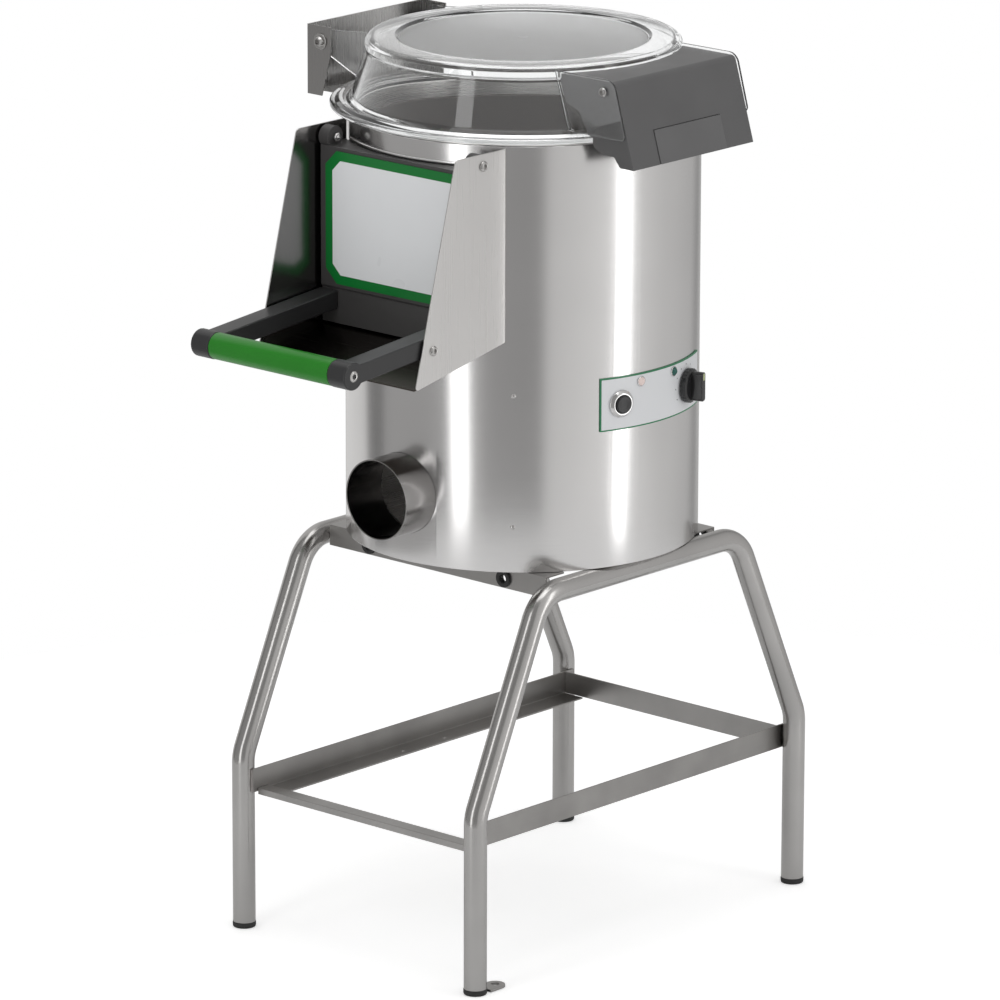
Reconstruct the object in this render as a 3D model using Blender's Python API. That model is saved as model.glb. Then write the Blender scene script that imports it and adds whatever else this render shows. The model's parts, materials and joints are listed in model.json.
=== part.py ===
# Electric potato peeler on a bent-tube stand, built piece by piece.
#
# Lengths are in metres, +Z is up, the chute faces -Y and the lid handle points to +X.
# Shapes are drawn in the machine's own frame: the drum's axis is x = y = 0 and the floor is z = 0.
# An azimuth is an angle round the drum, from -Y towards +X.

import math

import bmesh
import bpy
from mathutils import Matrix, Vector

# Fits
seat_gap = 0.0003          # between two pieces that touch
cut_overrun = 0.002        # how far a cutter runs past what it cuts
sheet = 0.0015             # stainless sheet of the casing and its fittings
bar_sheet = 0.002          # folded sheet of the stand

# Facets of round pieces
drum_sides = 48
lid_sides = 40
wheel_sides = 24
tube_sides = 12
pin_sides = 12
bend_steps = 4
corner_steps = 3

# Height of the machine's underside, on the tubes and crossbars
base_z = 0.4355

# Drum casing and the base plate
drum_radius = 0.193
casing_height = 0.4675
casing_top_z = base_z + casing_height
base_skirt = 0.028
base_sheet = 0.002
hole_clearance = 0.0002

# Stand tubes, two inverted U frames side by side
tube_radius = 0.0125
tube_wall = 0.0015
leg_inset = 0.02125
leg_x = drum_radius - leg_inset
leg_spread = 0.0712
leg_y = drum_radius + leg_spread
leg_lean = 0.1029
top_corner_y = leg_y - leg_lean
bend_radius = 0.045
foot_height = 0.006
foot_lip = 0.0002
foot_plug = 0.012
lug_width = 0.022
lug_reach = 0.030
lug_thickness = 0.003
lug_hole_radius = 0.0045

# Crossbars under the machine
bar_inset = 0.054
bar_y = drum_radius - bar_inset
bar_height = 0.0234
bar_flange = 0.030
front_grommet_inset = 0.07275
front_grommet_x = leg_x - front_grommet_inset
rear_grommet_inset = 0.03175
rear_grommet_x = leg_x - rear_grommet_inset
grommet_radius = 0.0098
grommet_bore = 0.0058
grommet_lip = 0.0016
grommet_reach = 0.0030

# Shelf frame between the legs
shelf_top_z = 0.183
bend_rise = 0.0146
leg_bend_z = shelf_top_z + bend_rise
shelf_web = 0.027
shelf_flange = 0.030
rear_web = 0.025
strip_depth = 0.017
strip_lip = 0.0055
strip_inset = 0.0072
strip_front_y = leg_y - strip_inset

# Peeling chamber
chamber_gap = 0.009
chamber_radius = drum_radius - chamber_gap
pan_rise = 0.2165
pan_z = base_z + pan_rise
pan_skirt = 0.0245
skirt_window_margin = math.radians(8)
lining_thickness = 0.005
lining_rise = 0.022
lining_low_z = pan_z + lining_rise
lining_drop = 0.021
lining_high_z = casing_top_z - lining_drop
lining_inner = chamber_radius - sheet - seat_gap - lining_thickness
seal_inset = 0.0005
seal_inner = chamber_radius + seal_inset
seal_outset = 0.003
seal_outer = drum_radius - seal_outset
seal_height = 0.003

# Doorway through casing, chamber and lining
doorway_half = 0.095
doorway_rise = 0.036
doorway_low_z = pan_z + doorway_rise
doorway_drop = 0.027
doorway_high_z = casing_top_z - doorway_drop

# Drain
spout_radius = 0.0444
spout_rise = 0.0753
spout_z = base_z + spout_rise
spout_reach = 0.0415
spout_mouth_y = drum_radius + spout_reach
duct_margin = 0.0029
duct_half = spout_radius + duct_margin
duct_setback = 0.013
duct_front_y = drum_radius - duct_setback
duct_depth = 0.070
duct_rear_y = duct_front_y - duct_depth
duct_floor_margin = 0.0019
duct_floor_z = spout_z - spout_radius - duct_floor_margin
duct_lip = 0.003

# Abrasive disc and its shaft
disc_clearance = 0.0072
disc_radius = lining_inner - disc_clearance
disc_rise = 0.024
disc_low_z = pan_z + disc_rise
disc_thickness = 0.010
disc_hub_radius = 0.025
disc_hub = 0.012
rib_count = 3
rib_width = 0.026
rib_height = 0.006
rib_start = 0.035
rib_end_inset = 0.015
rib_end = disc_radius - rib_end_inset
shaft_radius = 0.012
shaft_rise = 0.0105
shaft_low_z = base_z + shaft_rise
housing_radius = 0.034
housing_flange_radius = 0.055
housing_flange = 0.0055
housing_bore = 0.020
bearing_radius = 0.026
bearing_height = 0.014
bearing_inset = 0.010
seal_ring_height = 0.0145

# Belt drive
pulley_rise = 0.0125
pulley_low_z = base_z + pulley_rise
pulley_height = 0.018
housing_clearance = 0.014
housing_low_z = pulley_low_z + pulley_height + housing_clearance
pulley_rim = 0.003
belt_thickness = 0.004
pulley_lip = 0.0045
pulley_arc_steps = 12

# Motor, between the bearing housing and the casing
motor_wall_gap = 0.028
motor_housing_gap = 0.011
motor_radius = (drum_radius - motor_wall_gap - housing_radius - motor_housing_gap) / 2
motor_y = drum_radius - motor_wall_gap - motor_radius
motor_height = 0.148
motor_cap = 0.012
motor_shoulder = 0.010
motor_cap_radius = motor_radius - motor_shoulder
motor_shaft_radius = 0.007
motor_shaft_inside = 0.043
motor_belt_radius = 0.0155
pulley_gap = 0.024
driven_belt_radius = motor_y - motor_belt_radius - pulley_gap
plate_side_margin = 0.010
plate_half_x = motor_radius + plate_side_margin
plate_end_margin = 0.005
plate_half_y = motor_radius + plate_end_margin
plate_near_y = motor_y - plate_half_y
plate_far_y = motor_y + plate_half_y
plate_clearance = 0.0035
plate_z = pulley_low_z + pulley_height + plate_clearance
plate_thickness = 0.0027
plate_hole_radius = 0.022

# Water inlet at the back
inlet_drop = 0.063
inlet_z = casing_top_z - inlet_drop
inlet_radius = 0.0105
inlet_bore = 0.0075
inlet_reach_in = 0.016
inlet_inner_y = chamber_radius - inlet_reach_in
inlet_nut_radius = 0.016
inlet_nut = 0.010
inlet_thread_radius = 0.0132
inlet_thread = 0.019

# Cable gland, without a cord
gland_azimuth = math.radians(158)
gland_rise = 0.0945
gland_z = base_z + gland_rise
gland_radius = 0.008
gland_hex_radius = 0.0125
gland_hex = 0.005
gland_dome_radius = 0.010
gland_dome = 0.012
gland_bore = 0.004
gland_tail = 0.010

# Lid, one clear moulding
lid_wall = 0.004
lid_low_z = casing_top_z + sheet + seal_height + 3 * seat_gap
lid_edge_reach = 0.0165
lid_edge_radius = drum_radius + lid_edge_reach
lid_edge_height = 0.0052
lid_edge_round = 0.0015
lid_bead_inset = 0.012
lid_bead_radius = lid_edge_radius - lid_bead_inset
lid_bead_height = 0.0085
lid_bead_width = 0.006
cone_inset = 0.0235
cone_low_radius = lid_edge_radius - cone_inset
cone_rise = 0.0116
cone_low_z = lid_low_z + cone_rise
cone_lean = 0.0155
cone_high_radius = cone_low_radius - cone_lean
cone_height = 0.0505
cone_high_z = cone_low_z + cone_height
crown_step = 0.0015
crown_band = 0.009
crown_edge_z = cone_high_z + crown_band
crown_rise = 0.005
crown_z = crown_edge_z + crown_rise
crown_inset = 0.004
crown_outer_radius = cone_high_radius - crown_inset
crown_width = 0.028
crown_inner_radius = crown_outer_radius - crown_width
well_slope = 0.0035
well_radius = crown_inner_radius - well_slope
well_depth = 0.003
well_z = crown_z - well_depth
dimple_radius = 0.006
dimple_depth = 0.0012

# Ears that stand on the lid, two for the handle cover and two for the hinge
ear_thickness = 0.003
ear_rise = 0.0005
ear_top_z = crown_edge_z + ear_rise
ear_foot_rise = 0.0081
ear_low_z = lid_low_z + ear_foot_rise
ear_reach = 0.0257
ear_low_x = lid_edge_radius + ear_reach
ear_lean = 0.0177
ear_top_x = ear_low_x - ear_lean
ear_top_corner = 0.014
ear_low_corner = 0.006
hinge_ear_thickness = 0.004
hinge_ear_rise = 0.007
hinge_ear_low_z = cone_low_z + hinge_ear_rise
hinge_ear_end = 0.0132
hinge_ear_round_start = math.radians(80)
hinge_ear_round_end = math.radians(290)

# Dark handle cover between the front and rear ears
cover_half = 0.0975
cover_wall = 0.003
cover_drop = 0.0025
cover_top_z = ear_top_z - cover_drop
cover_fold_inset = 0.001
cover_fold_x = ear_top_x - cover_fold_inset
cover_lean = 0.0273
cover_low_x = cover_fold_x + cover_lean
cover_height = 0.091
cover_low_z = cover_top_z - cover_height
cover_fold_radius = 0.006
cover_start_inset = 0.0525
cover_start_x = cone_high_radius - cover_start_inset
cover_temple_inset = 0.018
cover_temple_x = cone_low_radius - cover_temple_inset
cover_temple_rise = 0.020
cover_temple_z = cone_low_z + cover_temple_rise
cover_recess_margin = 0.0435
cover_recess_half = cover_half - cover_recess_margin
cover_recess_height = 0.036
cover_recess_z = cover_low_z + cover_recess_height
cover_recess = 0.0012
cover_lip = 0.0195
cover_notch_inset = 0.0095
cover_notch_x = lid_edge_radius - cover_notch_inset
cover_notch_rise = 0.0108
cover_notch_z = cover_low_z + cover_notch_rise
cover_shoulder_reach = 0.0063
cover_shoulder_x = lid_edge_radius + cover_shoulder_reach
cover_hook_reach = 0.002
cover_hook_x = cone_low_radius + cover_hook_reach
cover_hook_drop = 0.0049
cover_hook_z = lid_low_z - cover_hook_drop
cover_throat_inset = 0.0125
cover_throat_x = cone_low_radius - cover_throat_inset
cover_throat_rise = 0.010
cover_throat_z = cone_low_z + cover_throat_rise
cover_brow_inset = 0.0205
cover_brow_x = cone_high_radius - cover_brow_inset
cover_brow_rise = 0.0264
cover_brow_z = cone_low_z + cover_brow_rise
lid_clearance = 0.0006

# Hinge bracket at the left
hinge_reach = 0.0035
hinge_x = -lid_edge_radius - hinge_reach
hinge_drop = 0.019
hinge_z = ear_top_z - hinge_drop
bracket_setback = 0.020
bracket_back_x = hinge_x - bracket_setback
bracket_half = 0.093
bracket_drop = 0.0025
bracket_low_z = casing_top_z - bracket_drop
bracket_top_drop = 0.002
bracket_top_z = ear_top_z - bracket_top_drop
bracket_flange = 0.0350
bracket_foot = 0.0212
bracket_slant_rise = 0.0495
bracket_slant_z = bracket_low_z + bracket_slant_rise
saddle_half_angle = math.radians(22)
saddle_height = 0.040
saddle_sheet = 0.002
hinge_bolt_radius = 0.004
hinge_head_radius = 0.0062
hinge_head = 0.0045
hinge_washer_radius = 0.009
hinge_washer = 0.0015
hinge_nut = 0.006

# Chute in front of the doorway
chute_margin = 0.0193
chute_half = doorway_half + chute_margin
chute_drop = 0.0020
chute_top_z = casing_top_z - chute_drop
chute_reach = 0.042
chute_top_front_y = drum_radius + chute_reach
chute_top_chamfer = 0.006
chute_lean = 0.0625
chute_tip_y = chute_top_front_y + chute_lean
chute_root_rise = 0.002
chute_root_z = doorway_low_z + chute_root_rise
chute_fall = 0.028
chute_tip_z = chute_root_z - chute_fall
screw_head_radius = 0.0058
screw_head = 0.0028

# Discharge door
door_pivot_inset = 0.001
door_pivot_y = drum_radius - door_pivot_inset
door_pivot_rise = 0.012
door_pivot_z = doorway_high_z + door_pivot_rise
door_lug_radius = 0.012
door_lug_width = 0.014
door_pin_radius = 0.0035
door_clearance = 0.0043
door_half = chute_half - door_clearance
door_face_reach = 0.011
door_front_y = door_pivot_y + door_face_reach
door_top_drop = 0.008
door_top_z = door_pivot_z - door_top_drop
door_step_rise = 0.036
door_step_z = chute_root_z + door_step_rise
door_step = 0.002
door_floor_gap = 0.003
door_side_gap = 0.0022
plug_side_gap = 0.003
plug_half = doorway_half - plug_side_gap
plug_foot_gap = 0.004
plug_low_z = doorway_low_z + plug_foot_gap
plug_head_gap = 0.005
plug_high_z = doorway_high_z - plug_head_gap
plug_depth = 0.016
door_seal_width = 0.006
door_seal_thickness = 0.003
label_margin = 0.0085
label_half = door_half - label_margin
label_inset = 0.004
label_low_z = door_step_z + label_inset
label_high_z = door_top_z - label_inset
label_corner = 0.016
label_thickness = 0.001

# Door arms and the grip between them
handle_reach = 0.185
handle_y = door_front_y + handle_reach
arm_root_drop = 0.014
arm_root_z = door_step_z - arm_root_drop
handle_drop = 0.017
handle_z = arm_root_z - handle_drop
arm_height = 0.0205
arm_proud = 0.002
arm_outer_x = door_half + arm_proud
arm_width = 0.0255
arm_inner_x = arm_outer_x - arm_width
arm_boss_radius = 0.0150
grip_step = 0.0005
grip_radius = arm_boss_radius - grip_step
grip_tenon = 0.006
grip_tenon_radius = 0.009

# Control panel on the drum's right side
panel_start = math.radians(67.2)
panel_end = math.radians(119.0)
panel_rise = 0.1515
panel_low_z = base_z + panel_rise
panel_height = 0.0585
panel_high_z = panel_low_z + panel_height
button_azimuth = math.radians(74.8)
button_rise = 0.0287
button_z = panel_low_z + button_rise
bezel_radius = 0.015
bezel_height = 0.0045
bezel_flange = 0.0042
barrel_radius = bezel_radius - bezel_flange
barrel_depth = 0.040
barrel_wall = 0.0016
cap_height = 0.0036
cap_crown = 0.0012
cap_skirt = 0.012
button_travel = 0.0035
clear_lamp_azimuth = math.radians(82.6)
clear_lamp_rise = 0.0496
clear_lamp_z = panel_low_z + clear_lamp_rise
green_lamp_azimuth = math.radians(98.5)
green_lamp_rise = 0.0505
green_lamp_z = panel_low_z + green_lamp_rise
lamp_radius = 0.0045
lamp_dome = 0.0030
lamp_rim = 0.0012
lamp_barrel = 0.0034
lamp_depth = 0.020
knob_azimuth = math.radians(107.0)
knob_rise = 0.0288
knob_z = panel_low_z + knob_rise
knob_radius = 0.0190
knob_skirt = 0.006
knob_top_radius = 0.0160
knob_height = 0.020
knob_bar_half = 0.0042
knob_lift = 0.0012
spindle_radius = 0.003
spindle_depth = 0.013
bush_wall = 0.0018
timer_half = 0.019
timer_depth = 0.026
timer_setback = 0.0052

# Places worked out from the sizes above
axis_x = -(cover_low_x + bracket_back_x) / 2
axis_y = (handle_y + arm_boss_radius - leg_y - tube_radius - foot_lip) / 2
casing_inner = drum_radius - sheet
liner_outer = casing_inner - seat_gap
tube_top_z = base_z - seat_gap
panel_outer = drum_radius + seat_gap + sheet
disc_high_z = disc_low_z + disc_thickness


# Blender helpers

def clear_scene():
    for thing in list(bpy.data.objects):
        bpy.data.objects.remove(thing)


def finish(name, colour, roughness, metallic=0.0, transmission=0.0):
    material = bpy.data.materials.new(name)
    material.use_nodes = True
    shader = material.node_tree.nodes["Principled BSDF"]
    shader.inputs["Base Color"].default_value = (*colour, 1.0)
    shader.inputs["Roughness"].default_value = roughness
    shader.inputs["Metallic"].default_value = metallic
    shader.inputs["Transmission Weight"].default_value = transmission
    return material


def carrier(name, parent, place=(0, 0, 0), turn=None):
    """An empty in the machine's frame that pieces hang on."""
    empty = bpy.data.objects.new(name, None)
    bpy.context.scene.collection.objects.link(empty)
    empty.parent = parent
    matrix = Matrix.Translation(Vector(place))
    if turn is not None:
        matrix = matrix @ turn.to_4x4()
    empty.matrix_basis = matrix
    return empty


def piece(name, shape, material, holder, local=False, smooth=True):
    """Put a shape on its holder; shapes are drawn in the machine's frame unless local."""
    if not local and holder.parent is not None:
        shape.transform(holder.matrix_basis.inverted())
    bmesh.ops.remove_doubles(shape, verts=shape.verts, dist=seat_gap / 100)
    bmesh.ops.recalc_face_normals(shape, faces=shape.faces)
    mesh = bpy.data.meshes.new(name)
    shape.to_mesh(mesh)
    shape.free()
    thing = bpy.data.objects.new(name, mesh)
    bpy.context.scene.collection.objects.link(thing)
    thing.parent = holder
    if material is not None:
        mesh.materials.append(material)
    if smooth:
        mesh.shade_smooth()
        mesh.set_sharp_from_angle(angle=math.radians(30))
    return thing


def tool(name, shape, holder, local=False):
    """A shape that cuts or joins other pieces and is not built itself."""
    thing = piece(name, shape, None, holder, local, smooth=False)
    thing.hide_render = True
    thing.display_type = "WIRE"
    return thing


def boolean(target, other, operation):
    step = target.modifiers.new(other.name, "BOOLEAN")
    step.operation = operation
    step.object = other
    step.solver = "EXACT"


def cut(target, *others):
    for other in others:
        boolean(target, other, "DIFFERENCE")


def join(target, *others):
    for other in others:
        boolean(target, other, "UNION")


# Shapes

def outward(azimuth):
    """Unit vector that points away from the drum's axis."""
    return Vector((math.sin(azimuth), -math.cos(azimuth), 0))


def radial_turn(azimuth):
    """Local +Z points away from the drum, local +Y up."""
    out = outward(azimuth)
    up = Vector((0, 0, 1))
    return Matrix((up.cross(out), up, out)).transposed()


def turn_to(axis):
    """Turn that carries local +Z onto the named axis."""
    if axis == "x":
        return Matrix.Rotation(math.radians(90), 3, "Y")
    if axis == "y":
        return Matrix.Rotation(math.radians(-90), 3, "X")
    return Matrix.Identity(3)


def loft(rings, closed=False):
    """Skin through equal rings of points, with flat ends unless the last ring meets the first."""
    shape = bmesh.new()
    loops = [[shape.verts.new(point) for point in ring] for ring in rings]
    pairs = list(zip(loops, loops[1:]))
    if closed:
        pairs.append((loops[-1], loops[0]))
    for near, far in pairs:
        count = len(near)
        for i in range(count):
            k = (i + 1) % count
            shape.faces.new((near[i], near[k], far[k], far[i]))
    if not closed:
        shape.faces.new(list(reversed(loops[0])))
        shape.faces.new(loops[-1])
    return shape


def raise_outline(outline, axis, low, high):
    """A flat outline carried along an axis; (y, z), (x, z) or (x, y) are its own two."""
    def spot(point, level):
        u, v = point
        if axis == "x":
            return (level, u, v)
        if axis == "y":
            return (u, level, v)
        return (u, v, level)
    return loft([[spot(point, level) for point in outline] for level in (low, high)])


def box(low, high):
    x0, y0, z0 = low
    x1, y1, z1 = high
    return raise_outline([(x0, y0), (x1, y0), (x1, y1), (x0, y1)], "z", z0, z1)


def turned(profile, sides, place=(0, 0, 0), turn=None):
    """A profile of (radius, height) turned round its axis; radius 0 makes a pole."""
    shape = bmesh.new()
    rings = []
    for radius, height in profile:
        if radius == 0:
            rings.append([shape.verts.new((0, 0, height))])
            continue
        ring = []
        for i in range(sides):
            angle = 2 * math.pi * i / sides
            ring.append(shape.verts.new((radius * math.cos(angle), radius * math.sin(angle), height)))
        rings.append(ring)
    pairs = list(zip(rings, rings[1:]))
    if len(rings[0]) > 1:
        pairs.append((rings[-1], rings[0]))
    for near, far in pairs:
        for i in range(sides):
            k = (i + 1) % sides
            if len(near) == 1:
                shape.faces.new((near[0], far[k], far[i]))
            elif len(far) == 1:
                shape.faces.new((near[i], near[k], far[0]))
            else:
                shape.faces.new((near[i], near[k], far[k], far[i]))
    matrix = Matrix.Translation(Vector(place))
    if turn is not None:
        matrix = matrix @ turn.to_4x4()
    shape.transform(matrix)
    return shape


def rod(radius, low, high, sides, place=(0, 0, 0), turn=None):
    return turned([(0, low), (radius, low), (radius, high), (0, high)], sides, place, turn)


def ring(inner, outer, low, high, sides, place=(0, 0, 0), turn=None):
    return turned([(inner, low), (outer, low), (outer, high), (inner, high)], sides, place, turn)


def merge(shapes):
    """Several shapes as the separate solids of one piece."""
    whole = bmesh.new()
    for shape in shapes:
        mesh = bpy.data.meshes.new("step")
        shape.to_mesh(mesh)
        shape.free()
        whole.from_mesh(mesh)
        bpy.data.meshes.remove(mesh)
    return whole


def mirrored(make):
    """The same shape on both sides of the machine, drawn by make(side)."""
    return merge([make(side) for side in (-1, 1)])


def rounded(corners, radii, steps=corner_steps):
    """An outline whose corners are turned with the given radii; 0 leaves a corner sharp."""
    points = []
    count = len(corners)
    for i, (corner, radius) in enumerate(zip(corners, radii)):
        here = Vector(corner)
        if radius == 0:
            points.append(tuple(here))
            continue
        back = (Vector(corners[i - 1]) - here).normalized()
        ahead = (Vector(corners[(i + 1) % count]) - here).normalized()
        half = back.angle(ahead) / 2
        centre = here + (back + ahead).normalized() * radius / math.sin(half)
        start = here + back * radius / math.tan(half) - centre
        sweep = start.angle_signed(here + ahead * radius / math.tan(half) - centre)
        for step in range(steps + 1):
            angle = -sweep * step / steps
            turned_point = centre + Matrix.Rotation(angle, 2) @ start
            points.append(tuple(turned_point))
    return points


def arc_points(radius, start, end, steps, centre=(0, 0)):
    """Points on a circle, angles from +X towards +Y."""
    return [(centre[0] + radius * math.cos(start + (end - start) * i / steps),
             centre[1] + radius * math.sin(start + (end - start) * i / steps)) for i in range(steps + 1)]


def drum_angles(start, end):
    """Azimuths from start to end that also stop at each edge of the drum's facets."""
    step = 2 * math.pi / drum_sides
    first = math.floor(start / step) + 1
    last = math.ceil(end / step) - 1
    return [start] + [step * i for i in range(first, last + 1)] + [end]


def curved_plate(inner, outer, start, end, low, high):
    """A plate that lies round the drum, between two azimuths."""
    rings = []
    for azimuth in drum_angles(start, end):
        out = outward(azimuth)
        rings.append([(out.x * radius, out.y * radius, height)
                      for radius, height in ((inner, low), (outer, low), (outer, high), (inner, high))])
    return loft(rings)


def drum_hole(azimuth, height, radius, low, high):
    """A round cutter through the drum's wall, between two distances from the axis."""
    return rod(radius, low, high, pin_sides * 2, (0, 0, height), radial_turn(azimuth))


def bent_path(corners, radius, steps):
    """Points along a bent tube's centre line in its own plane; corners are (y, z)."""
    points = [Vector(corners[0])]
    for before, corner, after in zip(corners, corners[1:], corners[2:]):
        here = Vector(corner)
        back = (Vector(before) - here).normalized()
        ahead = (Vector(after) - here).normalized()
        half = back.angle(ahead) / 2
        centre = here + (back + ahead).normalized() * radius / math.sin(half)
        start = here + back * radius / math.tan(half) - centre
        sweep = start.angle_signed(here + ahead * radius / math.tan(half) - centre)
        count = max(2, round(steps * abs(sweep) / (math.pi / 3)))
        for step in range(count + 1):
            points.append(centre + Matrix.Rotation(-sweep * step / count, 2) @ start)
    points.append(Vector(corners[-1]))
    return points


def tube(path, x, outer, inner, sides):
    """A hollow tube along a path of (y, z) points in the plane at x."""
    rings = []
    for i, spot in enumerate(path):
        tangent = (path[min(i + 1, len(path) - 1)] - path[max(i - 1, 0)]).normalized()
        across = Vector((0, -tangent.y, tangent.x))
        side = Vector((1, 0, 0))
        centre = Vector((x, spot.x, spot.y))
        ring_points = []
        for radius in (outer, inner):
            for k in range(sides):
                angle = 2 * math.pi * k / sides
                ring_points.append(centre + (side * math.cos(angle) + across * math.sin(angle)) * radius)
        rings.append(ring_points)
    shape = bmesh.new()
    loops = [[shape.verts.new(point) for point in ring_points] for ring_points in rings]
    for near, far in zip(loops, loops[1:]):
        for i in range(sides):
            k = (i + 1) % sides
            shape.faces.new((near[i], near[k], far[k], far[i]))
            shape.faces.new((far[sides + i], far[sides + k], near[sides + k], near[sides + i]))
    for end in (loops[0], loops[-1]):
        for i in range(sides):
            k = (i + 1) % sides
            shape.faces.new((end[i], end[k], end[sides + k], end[sides + i]))
    return shape


# Stand

def build_stand(machine, steel, rubber):
    foot_z = foot_height + seat_gap
    rise = tube_top_z - tube_radius
    corners = [(-leg_y, foot_z), (-leg_y, leg_bend_z), (-top_corner_y, rise),
               (top_corner_y, rise), (leg_y, leg_bend_z), (leg_y, foot_z)]
    path = bent_path(corners, bend_radius, bend_steps)
    bore = tube_radius - tube_wall
    for side, name in ((-1, "stand_tube_left"), (1, "stand_tube_right")):
        piece(name, tube(path, side * leg_x, tube_radius, bore, tube_sides), steel, machine)

    foot = [(0, 0), (tube_radius + foot_lip, 0), (tube_radius + foot_lip, foot_height),
            (bore - seat_gap, foot_height), (bore - seat_gap, foot_height + foot_plug),
            (0, foot_height + foot_plug)]
    for x, across in ((-1, "left"), (1, "right")):
        for y, along in ((-1, "front"), (1, "rear")):
            cap = turned(foot, tube_sides, (x * leg_x, y * leg_y, 0))
            piece("foot_cap_" + along + "_" + across, cap, rubber, machine)

    # The floor lug reaches back from the front right foot
    lug_near = -leg_y + tube_radius + foot_lip + seat_gap
    half = lug_width / 2
    lug = [(leg_x - half, lug_near), (leg_x + half, lug_near)]
    lug += arc_points(half, 0, math.pi, 2 * corner_steps, (leg_x, lug_near + lug_reach - half))
    plate = piece("floor_lug", raise_outline(lug, "z", 0, lug_thickness), steel, machine)
    hole = rod(lug_hole_radius, -cut_overrun, lug_thickness + cut_overrun, pin_sides,
               (leg_x, lug_near + lug_reach - half, 0))
    cut(plate, tool("lug_hole", hole, machine))
    build_crossbars(machine, steel, rubber)
    build_shelf(machine, steel)


def build_crossbars(machine, steel, rubber):
    reach = leg_x - tube_radius - seat_gap
    low = tube_top_z - bar_height
    under = tube_top_z - bar_sheet
    grommet_z = under - seat_gap - grommet_radius
    hole_radius = grommet_radius - grommet_lip
    half = bar_sheet / 2
    for side, name, grommet_x in ((-1, "stand_bar_front", front_grommet_x),
                                  (1, "stand_bar_rear", rear_grommet_x)):
        outer = side * bar_y
        outline = [(outer, low), (outer, tube_top_z), (outer - side * bar_flange, tube_top_z),
                   (outer - side * bar_flange, under), (outer - side * bar_sheet, under),
                   (outer - side * bar_sheet, low)]
        bar = piece(name, raise_outline(outline, "x", -reach, reach), steel, machine)
        web = outer - side * half
        holes = merge([rod(hole_radius, -half - cut_overrun, half + cut_overrun, pin_sides,
                           (x * grommet_x, web, grommet_z), turn_to("y")) for x in (-1, 1)])
        cut(bar, tool(name + "_holes", holes, machine))

    neck = hole_radius - seat_gap
    inner_face = half + seat_gap
    outer_face = inner_face + grommet_reach
    profile = [(grommet_bore, -outer_face), (grommet_radius, -outer_face), (grommet_radius, -inner_face),
               (neck, -inner_face), (neck, inner_face), (grommet_radius, inner_face),
               (grommet_radius, outer_face), (grommet_bore, outer_face)]
    for side, name in ((-1, "bar_grommet_left"), (1, "bar_grommet_right")):
        place = (side * front_grommet_x, half - bar_y, grommet_z)
        piece(name, turned(profile, pin_sides, place, turn_to("y")), rubber, machine)


def build_shelf(machine, steel):
    face = leg_x - tube_radius - seat_gap
    low = shelf_top_z - shelf_web
    floor_z = low + bar_sheet
    front = strip_front_y - bar_sheet - seat_gap
    rear_face = leg_y - tube_radius - seat_gap
    rear_inner = rear_face - bar_sheet - seat_gap
    for side, name in ((-1, "shelf_rail_left"), (1, "shelf_rail_right")):
        section = [(side * face, low), (side * face, shelf_top_z), (side * (face - bar_sheet), shelf_top_z),
                   (side * (face - bar_sheet), floor_z), (side * (face - shelf_flange), floor_z),
                   (side * (face - shelf_flange), low)]
        rail = piece(name, raise_outline(section, "y", -leg_y, leg_y), steel, machine)
        inner = side * (face - bar_sheet)
        beyond = side * (face - shelf_flange - cut_overrun)
        notch_low, notch_high = sorted((inner, beyond))
        front_notch = box((notch_low, -leg_y - cut_overrun, low - cut_overrun),
                          (notch_high, -front, floor_z + cut_overrun))
        rear_notch = box((notch_low, rear_inner, low - cut_overrun),
                         (notch_high, leg_y + cut_overrun, floor_z + cut_overrun))
        cut(rail, tool(name + "_notches", merge([front_notch, rear_notch]), machine))

    across = face - bar_sheet - seat_gap
    rear = box((-across, rear_face - bar_sheet, shelf_top_z - rear_web), (across, rear_face, shelf_top_z))
    piece("shelf_rail_rear", rear, steel, machine)

    # The front strip laps over the rails' flanges and its lip hangs before them
    top = floor_z + seat_gap + bar_sheet
    strip = [(-strip_front_y, top), (-strip_front_y, top - bar_sheet - strip_lip),
             (-strip_front_y + bar_sheet, top - bar_sheet - strip_lip),
             (-strip_front_y + bar_sheet, top - bar_sheet), (-strip_front_y + strip_depth, top - bar_sheet),
             (-strip_front_y + strip_depth, top)]
    piece("shelf_strip_front", raise_outline(strip, "x", -across, across), steel, machine)


# Casing and base plate

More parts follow.
